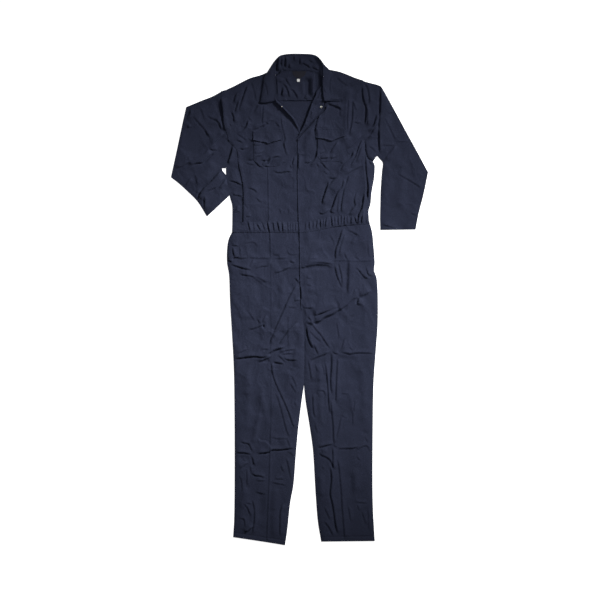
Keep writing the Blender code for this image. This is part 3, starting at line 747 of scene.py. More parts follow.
# Rib-knit tape of the neck patch: close and dull, almost black.
PATCH = Plain("black_woven_patch", "#27272f", "#2f2f38", 0.9, 0.9, shine=0.1)
# Woven satin tape of the care tag: bleached white, with a faint thread.
TAPE = Plain("white_woven_tape", "#ffffff", "#f4f4f2", 0.7, 0.7)
# Nickel-plated brass, stamped: bright, with a soft blur from tumbling.
NICKEL = Plain("nickel_plated_brass", "#c9c6c0", "#b4b1ab", 1.2, 0.32, metallic=1.0, depth=0.02)


# ---------------------------------------------------------------- the workshop


@dataclass
class Cloth:
    """A cut piece of cloth that lies in one layer.

    Its object is named for the solid that it stands for.
    """

    node: str
    outline: Points
    surface: Surface
    rests_on: tuple[str, ...]
    pitch: float = MEDIUM
    wall: float = WALL
    finer: tuple[Points, float] | None = None
    slot: str = "navy_twill"

    def build(self, material: bpy.types.Material) -> bpy.types.Object:
        """Makes the piece, hides the solid that it stands for, and logs its cut size."""
        net = net_of(self.outline, self.pitch, self.finer)
        made = one_ply(f"{self.node}_cloth", net, self.surface(net.points), self.wall, material)
        width, length, area = flat_cut(self.outline)
        declare(made, self.node, (width, length), area)
        return made


def declare(
    made: bpy.types.Object, node: str, flat: tuple[float, float], area: float,
) -> None:
    """Attaches an object to the suit's body, hides the solid that it stands for, and logs the flat size in metres that
    its cloth is cut to, worked out from its cut size and area.
    """
    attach(made, RIDE)
    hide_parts(node)
    flat = max(flat[0], area / flat[1] * 1.01, 0.0102), flat[1]
    LOG.info("%s: %d faces, cut from %.3f by %.3f m", made.name, len(made.data.polygons), *flat)


class Stitching:
    """Rows of lock stitches on one part of the suit, as one mesh."""

    LENGTH = 2.5
    PITCH = 3.4
    WIDE = 0.34
    HIGH = 0.36

    def __init__(self) -> None:
        """Starts with no rows."""
        self.points: list[Points] = []

    def row(self, line: Points, surface: Surface) -> None:
        """Adds a row of stitches along a line, on a surface."""
        middles = evenly(line, self.PITCH)
        along = np.gradient(middles, axis=0)
        along /= np.maximum(np.linalg.norm(along, axis=1), 1e-9)[:, None]
        across = np.stack([-along[:, 1], along[:, 0]], axis=1)
        ahead, behind = middles + along * self.LENGTH / 2, middles - along * self.LENGTH / 2
        base = surface(middles)
        spots = [
            np.column_stack([behind, surface(behind) - 0.12]),
            np.column_stack([ahead, surface(ahead) - 0.12]),
            np.column_stack([middles + across * self.WIDE, base + 0.05]),
            np.column_stack([middles - across * self.WIDE, base + 0.05]),
            np.column_stack([middles, base + self.HIGH]),
            np.column_stack([middles, base - 0.15]),
        ]
        self.points.append(np.stack(spots, axis=1).reshape(-1, 3))

    def build(self, name: str, material: bpy.types.Material, slot: str) -> bpy.types.Object:
        """Makes the mesh of all the rows."""
        points = np.vstack(self.points)
        corners = np.array(
            [[0, 3, 4], [0, 4, 2], [1, 4, 3], [1, 2, 4], [0, 5, 3], [0, 2, 5], [1, 3, 5], [1, 5, 2]]
        )
        count = len(points) // 6
        faces = (corners[None] + 6 * np.arange(count)[:, None, None]).reshape(-1, 3)
        made = new_object(name, points, faces, material)
        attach(made, RIDE)
        LOG.info("%s: %d stitches", name, count)
        return made


@dataclass
class Finishes:
    """The materials of the suit."""

    twill: bpy.types.Material = field(default_factory=lambda: Twill().material())
    thread: bpy.types.Material = field(default_factory=THREAD.material)
    patch: bpy.types.Material = field(default_factory=PATCH.material)
    tape: bpy.types.Material = field(default_factory=TAPE.material)
    nickel: bpy.types.Material = field(default_factory=NICKEL.material)


# ---------------------------------------------------------------- the suit


def between(value: Heights, low: float, high: float) -> Heights:
    """A smooth share from 0 at low to 1 at high."""
    share = np.clip((value - low) / (high - low), 0, 1)
    return share * share * (3 - 2 * share)


@dataclass
class Waist:
    """The elasticated waistband."""

    top_left: str = "-242,279 -202,279 -3,279"
    top_right: str = "-3,279 40,282 110,297 160,302 200,298 226,293 249,290"
    foot_left: str = "-243,242 -203,242 0,241"
    foot_right: str = "0,241 40,245 110,259 160,267 226,271 253,273"
    underlap: float = 40.0
    gathers: str = """
        fold 3.0 5  -18.7,28.6 -18.3,27 -17.6,24.2
        fold 1.1 4  -16.6,28.4 -16.3,24
        fold 2.6 5  -15.6,28 -14.8,26.4 -13.6,24
        fold 1.8 4  -13.6,28.2 -13,26.6 -12.3,24.6
        fold 3.5 5  -11.6,28.6 -11.3,26.5 -10.7,23.8
        fold 2.2 4  -9.5,28.4 -9.1,24
        fold 2.7 4  -8,28.4 -7.6,26.5 -7.1,24
        fold 2.7 4  -6.3,28.4 -6,26 -6,24
        fold 1.4 4  -4.3,28.2 -4,24
        fold 1.2 4  -3.3,28.2 -3.2,24
        fold 1.4 4  -2.3,28.2 -2.4,24
        fold 1.4 4  -1.4,28 -1.5,24
        fold 0.9 4  2.2,28 2.1,24.5
        fold 1.8 4  3.6,28.6 3.5,24.8
        fold 1.2 4  5,28.8 4.9,25
        fold 2.0 4  6.6,29.2 6.2,27 6,25.2
        fold 2.2 4  7.6,29.4 7.6,25.2
        fold 1.4 4  8.7,29.4 8.4,25.6
        fold 2.3 4  9.9,29.8 9.5,28 9.1,25.7
        fold 3.1 5  11.4,30.4 11.7,28 11.9,25.8
        fold 1.4 4  12.7,30.3 12.7,26.2
        fold 2.0 4  13.9,30.6 14.0,26.4
        fold 1.8 4  15.1,30.8 15.0,26.6
        fold 2.0 4  16.3,30.6 16.0,26.4
        fold 1.4 4  17.2,30.6 17.1,26.8
        fold 1.8 4  18.6,30.4 18.6,26.8
        fold 2.7 5  19.9,30.2 20.3,28.6 20.9,26.9
        fold 3.8 5  21.6,32 21.3,30 21,27
        fold 3.8 5  22.8,33 22.6,30 22.4,27
        fold 1.6 4  24.2,29.4 23.9,27.4
    """


    tuck: float = 5.0  # how far the cloth above and below goes in under the band
    ends_left: tuple[float, float] = (-202.0, -203.0)
    ends_right: tuple[float, float] = (226.0, 226.0)

    def line_top_left(self) -> Points:
        """The band's upper edge on the left front."""
        return smooth(path(self.top_left)[1:])

    def line_top_right(self) -> Points:
        """The band's upper edge on the right front."""
        return smooth(path(self.top_right)[:-1])

    def line_foot_left(self) -> Points:
        """The band's lower edge on the left, with the part round the side."""
        return smooth(path(self.foot_left))

    def line_foot_right(self) -> Points:
        """The band's lower edge on the right, with the part round the side."""
        return smooth(path(self.foot_right))

    def whole_top(self) -> Points:
        """The band's upper edge from side to side."""
        return np.vstack([smooth(path(self.top_left)), smooth(path(self.top_right))[1:]])

    def tuck_top(self) -> float:
        """How high up the front's lower edge is, under the band."""
        return path(self.top_left)[0, 1] - self.tuck

    def build(self, bodice: "Bodice", trousers: "Trousers", twill: bpy.types.Material) -> Surface:
        """Makes the band, and gives the upper side of its right front."""

        def left_top(xy: Points) -> Heights:
            return higher(bodice.front_top(xy), trousers.left_top(xy), 0.3) + WALL + 0.2

        def right_top(xy: Points) -> Heights:
            return higher(bodice.right_top(xy), trousers.right_top(xy), 0.3) + WALL + 0.2

        top, foot = self.whole_top(), np.vstack([self.line_foot_left(), self.line_foot_right()[1:]])
        folds = [evenly(np.vstack([top[k], foot[k]]), MEDIUM) for k in (0, -1)]
        flat = joined(top, folds[1], foot[::-1], folds[0][::-1])
        ends = []
        for fold, end, side in zip(folds, (self.ends_left, self.ends_right), (-1, 1)):
            cut = evenly(
                np.array([[end[0], np.interp(end[0], *top.T)], [end[1], np.interp(end[1], *foot.T)]]), MEDIUM,
            )
            above = top[top[:, 0] < end[0]][1:] if side < 0 else top[top[:, 0] > end[0]][:-1][::-1]
            under = foot[foot[:, 0] < end[1]][1:] if side < 0 else foot[foot[:, 0] > end[1]][:-1][::-1]
            ends.append(joined(fold, under, cut[::-1], above[::-1]))
        folded_cloth("back_waistband", flat, ends, left_top, folds, twill, FINE)
        cuts = [
            evenly(np.array([[e[0], np.interp(e[0], *top.T)], [e[1], np.interp(e[1], *foot.T)]]), MEDIUM)
            for e in (self.ends_left, self.ends_right)
        ]
        left = joined(
            self.line_top_left(), drawn(f"-3,279 | {self.underlap},282 | {self.underlap},245 | 0,241"),
            self.line_foot_left()[self.line_foot_left()[:, 0] > self.ends_left[1]][::-1], cuts[0][::-1],
        )
        rests_on = ("front_left_cloth", "trouser_front_left_cloth")
        Cloth("front_waistband_left", left, left_top, rests_on, FINE).build(twill)
        right = joined(
            self.line_top_right(), cuts[1],
            self.line_foot_right()[self.line_foot_right()[:, 0] < self.ends_right[1]][::-1],
            evenly(path("0,241 -3,279"), MEDIUM),
        )
        rests_on = ("front_right_cloth", "trouser_front_right_cloth", "front_waistband_left_cloth")
        Cloth("front_waistband_right", right, right_top, rests_on, FINE).build(twill)
        return right_top


@dataclass
class Bodice:
    """The back, its yoke and the two fronts, down to the waistband."""

    shoulder_left: str = "-92,826 -118,817 -140,808 -178,797 -236,768 -264,755"
    shoulder_right: str = "92,829 115,826 140,821 164,813 200,798"
    neck_left: str = "-92,826 -88,800"
    neck_right: str = "92,829 85,800"
    neck_seam: str = "-88,800 -75,811 -62,821 -40,825 38,824 63,817 85,800"
    armhole_left: str = "-279,750 -247,562"
    armhole_right: str = "226,788 234,572"
    armhole_bow: tuple[float, float] = (-9.0, 8.0)
    yoke_seam: float = 716.0
    edge_left: str = "-88,800 -85,750 -79,715 -61,699 -37,673 -19,653 -7,631 4,604"
    roll_line: str = "85,800 83,777 76,765 64,752 58,734 51,719 46,708 40,690 31,665 22,640 13,620 4,604 -6,584"
    centre: str = "-6,584 -7,440 -5,340 -3,279"
    side_left: str = "-247,562 -248,543 -255,515 -262,490 -265,470 -264,446 -257,405 -250,366 -243,340 -242,279"
    side_right: str = (
        "234,572 238,530 247,506 261,499 270,486 271,474 269,440 263,405 259,380 256,345 249,320 250,290"
    )
    seam_left: str = "-247,562 -226,540 -219,490 -208,440 -202,400 -202,279"
    seam_right: str = "234,572 236,530 238,490 241,440 243,390 229,352 226,293"
    creases: str = """
        # the left front's edge and the right front's roll
        rise 0.8 8  8.5,79 7.9,77 6,73.6 4.6,71.4 3.2,67 2.0,63.2 0.5,60.5
        # left front
        fold 1.6 8  -21.9,72.2 -22.4,69.6 -23.6,67
        fold 1.6 8  -22.4,74.8 -23.4,72 -23.7,70.4
        fold 2.0 9  -18.4,77.6 -19.6,74.6 -20.6,71.6 -22,67.6
        fold 1.1 14  -14.3,71 -15.4,69 -16.6,66.6
        fold 0.9 9  -17.6,79 -16.2,75 -15.4,70.5
        wave 1.5 18  -20.5,77 -21,72 -19,66
        fold 1.0 7  -12.8,70.5 -13.2,66 -13.4,62.5
        fold 1.0 7  -6.7,67.8 -6.5,65 -6.2,62.6 -5.6,60 -5.2,57.5 -5.6,56 -5.2,54 -4.7,52.5 -3.9,51.4
        fold 1.7 7  -22,60.2 -20.5,60.9 -19.3,62.1 -18.8,63.4 -18.5,65
        fold 2.6 7  -16.8,60.9 -15,61.7 -13.6,62.4 -12.8,63 -12,62.6
        dip 1.2 4  -14.6,61.9 -13,62.6
        fold 1.3 6  -13,63.7 -12,63.9 -11.2,63.2 -10.4,64.4 -9,64.2
        fold 1.2 6  -9,64.1 -7.8,62.8 -6.9,61.8
        fold 1.2 6  -18.5,66 -17.8,64.8 -16.8,64
        fold 1.3 8  -23,60 -20,58 -18.6,56.6
        fold 1.8 7  -23,57.4 -21.6,57.1 -20.2,56.2
        fold 1.0 6  -18.4,57.7 -16.8,57
        fold 2.0 6  -21.7,54.5 -20.2,54.1 -18.2,55
        fold 1.2 6  -13.2,56.1 -14.4,55.6 -16.6,55.5
        fold 1.1 6  -12.8,53.8 -14.2,52.7 -17,52.9
        fold 1.4 6  -18.8,50 -17,50.3 -15.2,51.6 -13.2,52
        fold 1.3 6  -19.7,49.2 -17.8,48.7 -16,48.5
        fold 1.0 6  -13.7,48.6 -12.9,49.3 -12.2,50.3
        fold 1.3 6  -16.2,50 -15,48.6 -14,47.8 -12.3,47
        fold 1.6 6  -14.2,50.2 -12,50.1 -10.8,51.1
        fold 1.7 6  -12.2,49.2 -11.2,48.9 -10.4,49.8 -9.8,51 -8.4,51.5 -6.3,51.3
        fold 0.9 5  -12.6,48 -10.6,47.9
        fold 2.0 9  -9.8,46.8 -8.4,45.9 -6.6,45.7 -4.4,46.1 -2.2,46
        fold 0.8 6  -3.2,48.8 -3.4,47.4
        fold 1.0 6  -8.3,47.8 -7,48.4 -5.9,49.4 -4.6,49.3
        fold 1.2 6  -1.7,51.8 -2.8,47.8
        fold 0.15 6  -2.2,50 -2.2,38
        fold 2.0 5  -0.3,53.4 -0.4,50 -0.45,46.4
        wave -2.2 9  0.2,52 2.4,51
        fold 1.8 7  -18.8,40.2 -17.2,39.9 -16,39.3 -15,38
        fold 1.1 6  -16,37 -13.3,34.4
        fold 0.6 6  -19.8,34.6 -18.4,32.4
        fold 0.9 6  -19.4,29.7 -17.3,30
        fold 0.6 7  -7.4,33 -6.6,30.8
        fold 0.6 7  -4.2,33.4 -3.8,30.6
        wave 1.4 22  -15,58 -17,46 -17,34
        wave -1.2 20  -7,44 -7,33
        fold 0.5 4  -11.6,49 -11.3,38 -11.2,27.6
        # turned-over strip at the left side, and its seam
        fold 2.0 7  -25.8,42.9 -23,42.3 -20.2,40.8
        fold 1.4 6  -24,37.5 -22.2,37.5 -20.5,37.1
        wave -4 8  -25.4,40.4 -25,38.4
        fold 0.9 5  -24.4,38.4 -22.8,37.2
        fold 1.0 5  -23.4,32.3 -21.7,34.1
        fold 0.7 5  -23.6,31.2 -21.4,32
        pucker 0.06 7  -22.2,55 -22,50 -21.1,46 -20.4,42 -20.3,28
        # above and round the right pocket
        fold 1.6 7  7.3,67.2 6.5,64.6 5.9,62 5.2,59
        fold 0.9 6  6.4,62 6.5,57 6.4,53.4
        fold 2.0 7  6.4,54.6 6.1,51.8 5.4,50.3 4.4,49.2 3.2,48.4
        fold 2.0 6  1.6,49.4 3,49.2 4.7,49.9
        wave 1.6 12  4.8,62.5 3.5,58 1.6,53
        fold 0.9 5  -0.2,52.2 1.8,52
        fold 1.7 6  14,57.4 12.4,55 10.7,52.4
        fold 1.0 6  7.2,52.2 9.4,53.4
        fold 1.4 8  10,44.2 12.2,43.6 14,44.6
        fold 2.0 6  7.2,50.7 9,50.9 11.2,51.3
        fold 1.6 6  11.3,50.4 13.2,51.7
        fold 1.1 6  14.6,49.4 15.8,49
        fold 1.0 6  8.6,46.6 9.6,45.4 10.8,45.2
        fold 1.2 6  6,49.3 7.2,47.4
        fold 1.5 6  6.6,50.2 8,49.2 9.6,47.4 11.2,46.1
        # right underarm, and the long drags from it
        fold 1.6 8  22.7,59.4 20.6,57 18.6,55 17,54
        fold 2.0 7  22.9,58 21.6,55.4 20.8,53 20,50.8 18.6,48.6 18,47.6
        fold 2.2 7  19.6,53.9 19.1,52.2 18.6,51.1 17.2,49.8 16,48.4 14.7,46.3
        fold 2.4 8  23.4,56.4 22,54 21.2,51.6 20,49.4
        fold 1.5 6  23,48.4 20,46.8 18,45.7 16.4,44.7
        fold 3.0 8  16,43.6 15.4,40.5 14.4,39.3 13,36.5 11.8,33 10.6,31.6
        fold 2.4 8  18,44.8 16.2,39.5 15.2,34 15,31
        fold 2.6 12  14.4,44.9 12,42.5 10.3,39.8
        fold 2.8 8  10.7,42.8 9.2,38.3 7.9,34
        fold 0.9 8  14.6,39 13.9,34.5 13.6,31
        fold 1.4 7  20.6,38.4 19.8,36 20,33.6 17.8,30.6
        fold 1.6 7  19.8,34 18.4,31.6 17.2,30.4
        fold 1.6 6  11,32.7 8.2,30.8 6.6,31.6
        fold 1.1 5  10.8,31.7 12.9,31
        wave 2.0 20  18,52 14.6,44 12,37
        wave 1.6 16  20.5,47 18.3,41 17.4,34
        # right shoulder
        wave 2.2 12  18.4,77 17.2,71 17,64 17,56
        fold 1.2 8  17.9,73 17.4,66 17.6,58.6
        fold 2.2 9  19.3,72 19.2,67 18.8,63 17.8,58.8
        fold 1.8 7  19.2,71.9 20.6,67.6
        fold 1.5 6  19.4,64.2 20.8,63.6 22.4,63.7
        fold 4.2 9  9.0,71.1 10.5,70.8 12.8,70.8 14.9,71.1
        wave -3 6  9.2,70.7 11.4,70.4
        fold 6.0 12  8.6,70.6 11,70.2 13.9,69.3 15.8,67.6
        fold 1.1 9  12.8,80.6 15.4,78.3 18.4,76.4
        wave 1.6 14  11,78 14,75.4 17,73.2
        fold 0.8 8  14.5,69 14.8,65.5
        # right side seam
        fold 3.0 9  23.5,57.6 23.9,53 23.9,50 24.1,46 24.6,42 24.7,38 24.5,35.6
        fold 4.0 9  23.6,38.6 23,36 22.7,33.5 22,31.5 21.4,28.8
        fold 5.0 9  24.6,52 25.1,50.4 25.6,49.2 26.8,48.2
        fold 4.2 11  24.7,43.4 24.8,39 24.6,35.4
        # left armhole and sleeve
        fold 7.0 9  -28.3,73.0 -27.9,69 -27.5,65 -27.1,62 -26.8,60.4
        wave -5 9  -29.8,71.8 -29.1,69.4 -28.4,67
        fold 5 6  -24.1,55.6 -24.6,53 -25.5,50.4 -26.1,48.4
        fold 2.6 8  -25.1,68 -24,66.8 -23.6,65 -23.5,63
        fold 1.7 6  -25.3,63.4 -24.2,62.2
        fold 2.3 9  -33.6,66.6 -31.6,65.2 -30,64.7 -29,63.6 -28.2,61.8 -27.2,60.4
        fold 1.8 8  -38.4,66.4 -36.6,64 -34.4,61.6 -33,59.6 -32,57.4
        fold 1.0 6  -34.2,61.4 -33,58.4
        fold 1.2 10  -36.2,69.6 -34.8,66.8 -34,64
        wave -2.6 24  -39.4,64 -38,57.4 -38.4,51
        fold 1.6 7  -39.3,69 -39.6,67 -40.8,64.8
        fold 1.2 7  -38.8,62.6 -40,61.6
        fold 2.6 7  -26.8,60.2 -28.8,58.2 -31,56.2 -31.8,55.6
        fold 1.8 6  -32.6,55 -31.6,53.9 -29.2,54.1
        fold 1.2 7  -26.6,58.2 -24.4,56.2
        fold 4.4 9  -30.9,52.8 -32.5,51.6 -34,50 -35,49.4 -37,49.3 -39.6,48.3
        dip 1.6 3  -31,52.7 -32.5,51.5 -34.1,49.9 -35,49.4
        back 2.4 8  -32.2,54 -33.8,52.6 -35.4,51.5 -38,50.3 -40.6,48.8
        fold 1.4 7  -38,50.6 -42,48.2 -45,47
        fold 5.0 10  -27.9,46.7 -29.6,45 -32,42.2 -34.6,39.8 -36.7,36
        fold 2.4 7  -26.8,44.2 -28.6,42.2 -30,40.6 -31.6,39.7 -33.4,39.1
        fold 2.2 7  -26.3,43.6 -27.8,41.6 -29.4,40
        wave -2.5 10  -27,41.5 -26,39
        fold 1.8 8  -34.2,37.8 -34.2,35 -34.2,32
        fold 0.8 7  -38.8,44.1 -41.3,41.2
        fold 0.9 8  -37.8,45.6 -37.1,43 -36.9,40.4
        fold 1.0 8  -37.4,38.3 -34.8,38.4
        wave 1.5 16  -30,50 -34,45 -39,41
        wave 1.4 14  -33,62 -31,58 -33,54
        # right armhole and sleeve
        fold 3.2 9  22.7,77.4 22.8,74 23.4,71 24,69.4 24,66.4 23.6,62.6
        fold 2.4 8  22.8,78.5 24.2,77 25.2,73 25.2,70
        fold 1.6 5  24.3,69.6 24.6,66 24.4,62.4
        fold 4.2 11  29.3,78.4 29.2,72 28.9,64.5 28.7,62.5 28.7,58 28.9,52.2
        wave 2.2 14  31.4,76 31.2,66 31.3,56
        wave -1.5 12  26.6,61 27,56
        fold 3.0 9  28.3,67.6 27.4,64.6 26.6,62.4 24.4,60.8
        fold 3.2 8  28.4,62.9 26.8,61 25.8,59.5 24.3,58.1
        fold 1.3 7  24.3,55.7 26.3,54.4 28.2,52.5
        fold 1.3 6  29.3,55.5 34.7,55.5
        fold 2.2 7  34.8,55.9 32.5,52.8 30.2,50.1
        fold 1.3 8  30.6,65.8 33.4,60 34.9,56.8
        fold 1.0 5  34.6,56.8 39.5,56.9
        fold 1.4 6  31.6,67 34.2,67.4
        fold 1.7 7  35.3,45.4 38,43.8 42.5,41.1 44.3,39.8
        wave 1.2 14  41,39 42.6,33.6
        fold 1.4 6  39.8,31 42.7,30.3
        fold 1.4 6  29.4,27.1 32,26.4 35.2,25.5
        wave 1.2 18  37,52 37,42 36,32
    """
    inside: str = """
        fold 2.2 7  -5.3,80.4 -4.4,78.6 -3.4,77 -2.9,76
        fold 3.0 7  -6.4,77.8 -5.2,77.1 -4.4,75.8 -3.8,74 -3.5,72.2
        fold 2.6 8  -3.9,76.1 -2.2,75.2 -1.3,74 -0.7,72.6 -0.2,71.6
        fold 3.4 9  -5.9,76.8 -6.1,75 -6.5,72.8
        back 9.0 13  5.2,81.8 5.1,77 4.9,72.2
        wave 1.6 8  7.2,80.4 7.1,77.6 6.8,75
        fold 1.3 5  -8.4,80.5 -8.1,77 -7.9,73.2
        wave -7.0 10  2.8,80.4 2.7,76 3.0,72.6
        wave -4.0 8  6.6,83 6.4,79 6.0,75.6
        fold 0.8 7  2.4,80.8 2.4,76 2.2,72.4
        fold 1.1 7  0.2,72 0.2,66.6
        fold 2.0 6  -2,71.2 -2.4,70 -3.4,68.9 -3.6,67.8
        wave 1.8 9  -6.6,80 -6.9,78
        fold 1.2 7  2.8,74 1.6,72.4
        wave 1.4 10  1.4,79 1.6,73
        wave 1.0 9  -1.2,70 -0.6,64
        wave 1.2 12  -6,71.4 -4.4,71.6
    """
    strength: float = 1.75
    under_collar: tuple[float, float, float] = (782.0, 802.0, 128.0)  # where the collar's fall lies underneath
    seam_lift: float = 1.9
    highest: float = 14.3
    edge_low: float = 2.9
    edge_flat: float = 5.0
    collar_feet: tuple[str, str] = ("-143,708 -120,709 -99,713 -81,718", "147,714 120,714 90,715")
    seam_margin: float = 6.0
    lapel_edge: str = "-6,584 9,602 22,615 40,634 58,654 72,668 87,683 92,696 90,715"
    sleeves: tuple["Sleeve", ...] = ()

    def __post_init__(self) -> None:
        """Draws the seams and works out how the cloth lies."""
        self.waist = Waist()
        self.shoulders = [drawn(self.shoulder_left), drawn(self.shoulder_right)]
        self.sides = [drawn(self.side_left), drawn(self.side_right)]
        self.seams = [drawn(self.seam_left), drawn(self.seam_right)]
        holes = [path(text) for text in (self.armhole_left, self.armhole_right)]
        self.armholes = [bowed(hole[0], hole[1], bow) for hole, bow in zip(holes, self.armhole_bow)]
        self.edge = drawn(self.edge_left)
        self.roll = drawn(self.roll_line)
        self.front_centre = drawn(self.centre)
        self.neck = drawn(self.neck_seam)
        self.lapel = drawn(self.lapel_edge)
        self.opening = joined(self.edge, self.roll[::-1], self.neck[::-1])
        self.outer = np.vstack([*self.shoulders, *self.sides, *(
            sleeve.edges(side) for sleeve, side in zip(self.sleeves, self.sides)
        )])
        self.relief = Relief(self.creases + self.waist.gathers, self.strength)
        self.inside_relief = Relief(self.inside, self.strength)
        self.side_top = Laid(level_at(WALL), self.relief, edges=self.outer, seed=3)

    def back_top(self, xy: Points) -> Heights:
        """The upper side of the yoke and back, which shows inside the opening."""
        off = np.where(within(xy, self.opening), 0.0, away_from(xy, self.opening))
        seen = np.exp(-((off / 11.0) ** 2))
        bent = self.inside_relief(xy) + 0.5 * rumple(xy, 40.0, 9) + 0.2 * rumple(xy, 14.0, 10)
        low, high, wide = self.under_collar
        collar = 1.35 * between(xy[:, 1], low, high) * (1 - between(np.abs(xy[:, 0]), wide - 22, wide))
        return FLOOR_GAP + WALL + collar + seen * higher(1.2 + bent, 0.0)

    def front_top(self, xy: Points) -> Heights:
        """The upper side of the fronts, which stand a little at their seams."""
        seams = np.vstack([*self.seams, *self.armholes])
        off = np.maximum(away_from(xy, seams) - self.seam_margin, 0.0)
        own = self.side_top(xy) + self.seam_lift * (1.7 - between(xy[:, 1], 460, 540)) * np.exp(-off / 10.0)
        own = self.turned_up(xy, own)
        return lower(higher(own, self.back_top(xy) + WALL + 0.3), self.highest, 0.6)

    def turned_up(self, xy: Points, own: Heights) -> Heights:
        """The fronts' upper side by the collar: low below its falls, and up along the left front's free edge.

        Args:
            xy: The points.
            own: How high the fronts lie there otherwise.

        Returns:
            Their heights.
        """
        off, high = away_from(xy, self.edge), xy[:, 1]
        share = between(high, 586, 700) * (1 - between(high, 716, 745))
        down = self.edge[::-1]
        left = xy[:, 0] < np.interp(high, down[:, 1], down[:, 0]) + 1.0
        feet = np.vstack([drawn(foot) for foot in self.collar_feet])
        spare = np.where(xy[:, 0] < 0, 0.3 + 1.0 * between(xy[:, 0], -134, -102), 0.35)
        below = (1 - between(away_from(xy, feet), 8 * spare, 28 * spare)) * (1 - between(high, 716, 745))
        hollow = np.maximum(below, left * share**0.3 * (1 - between(off, 24 * share + 5, 46 * share + 12)))
        low = own + (np.minimum(own, self.edge_low) - own) * hollow
        edge = left * (1 - between(off, self.edge_flat, self.edge_flat + 3.5 + 4.0 * share)) * share**0.55
        edge *= 1 - 0.3 * np.exp(-off / 2.5)
        return low + (np.maximum(self.highest - low, 0.0)) * edge

    def right_top(self, xy: Points) -> Heights:
        """The upper side of the right front, which lies over the left one's underlap."""
        lap = 1 - between(xy[:, 0], self.waist.underlap, self.waist.underlap + 28)
        lap = 1.25 * lap * (1 - between(xy[:, 1], 588, 618)) + 1.2 * lap * (1 - between(xy[:, 1], 288, 315))
        lapel = away_from(xy, self.lapel) - 3.0
        own = self.front_top(xy) + lap + 1.3 * np.exp(-away_from(xy, self.front_centre) / 7.0)
        outside = (xy[:, 0] - 9.0) * 0.72 > (xy[:, 1] - 602.0) * 0.69
        own = own + 4.5 * outside * np.exp(-(((lapel - 4.5) / 3.5) ** 2))
        return np.maximum(own - 9.0 * np.exp(-(((lapel + 3.0) / 3.0) ** 2)), 2.5)

    def build(self, twill: bpy.types.Material) -> None:
        """Makes the yoke, the back and the fronts."""
        waist = self.waist
        above = [hole[hole[:, 1] > self.yoke_seam + 1] for hole in self.armholes]
        below = [hole[hole[:, 1] <= self.yoke_seam] for hole in self.armholes]
        yoke = joined(
            self.neck[::-1], path(self.neck_left)[::-1], self.shoulders[0], above[0],
            below[0][:1], below[1][:1], above[1][::-1], self.shoulders[1][::-1], path(self.neck_right),
        )
        finer = (self.opening, FINE)
        Cloth("back_yoke", yoke, self.back_top, ("collar_fall_under_cloth",), PLAIN, finer=finer).build(twill)
        self.build_back(twill, below)
        left = joined(
            self.edge, drawn(f"3,602 | 12,588 30,565 40,540 | 40,{waist.tuck_top()}"),
            waist.line_top_left()[::-1] + (0, -waist.tuck),
            self.seams[0][::-1][1:], beside(self.armholes[0][::-1], 4.0)[1:], self.shoulders[0][::-1],
        )
        Cloth("front_left", left, self.front_top, ("back_yoke_cloth", "back_body_cloth"), FINE).build(twill)
        right = joined(
            self.roll, self.front_centre[1:], waist.line_top_right() + (0, -waist.tuck),
            self.seams[1][::-1][1:], beside(self.armholes[1][::-1], -4.0)[1:], self.shoulders[1][::-1],
        )
        slit = joined(beside(self.lapel, 1.5), beside(self.lapel, -8.0)[::-1])
        rests_on = ("front_left_cloth", "back_body_cloth")
        Cloth("front_right", right, self.right_top, rests_on, FINE, finer=(slit, 1.3)).build(twill)

    def build_back(self, twill: bpy.types.Material, holes: list[Points]) -> None:
        """Makes the back, whose sides are folded over onto the top up to the side seams.

        Args:
            twill: Its finish.
            holes: The armholes' lines below the yoke.
        """
        waist = self.waist
        flat = joined(
            holes[0], self.sides[0], waist.whole_top(), self.sides[1][::-1], holes[1][::-1],
        )
        tucks = [path(f"{x},{waist.tuck_top()}") for x in (waist.ends_left[0] + 5, waist.ends_right[0] - 5)]
        feet = [side[-1:] + (0, -waist.tuck) for side in self.sides]
        strips = [
            joined(self.sides[0], feet[0], tucks[0], (self.seams[0] + (5, 0))[::-1]),
            joined(self.sides[1], feet[1], tucks[1], (self.seams[1] - (5, 0))[::-1]),
        ]
        folded_cloth("back_body", flat, strips, self.side_top, self.sides, twill, FINE)


def folded_cloth(
    node: str, flat: Points, turned: Sequence[Points], surface: Surface, folds: Sequence[Points],
    material: bpy.types.Material, pitch: float,
) -> bpy.types.Object:
    """Makes a piece of cloth that lies on the floor and is folded over onto itself.

    Args:
        node: The solid that it stands for.
        flat: The outline of its lower layer.
        turned: The outlines of what is folded over.
        surface: The upper side of what is folded over.
        folds: The lines that it is folded at, which are in both outlines.
        material: Its finish.
        pitch: Between the points of what is folded over.

    Returns:
        The piece.
    """
    fold_points = np.vstack(folds)
    below = net_of(flat, PLAIN)
    count = len(below.points)
    plies = []
    for outline in turned:
        net = net_of(outline, pitch)
        top = surface(net.points)
        plies.append(Ply(net, top, top - WALL, True, pulled_in(net, fold_points, WALL)))
    bottom = Ply(
        below, np.full(count, FLOOR_GAP), np.full(count, FLOOR_GAP + WALL), False,
        pulled_in(below, fold_points, WALL),
    )
    made = folded_plies(f"{node}_cloth", bottom, plies, fold_points, material)
    width, length, area = flat_cut(flat)
    whole = area + sum(flat_cut(outline)[2] for outline in turned)
    declare(made, node, (width * whole / area, length), whole)
    return made


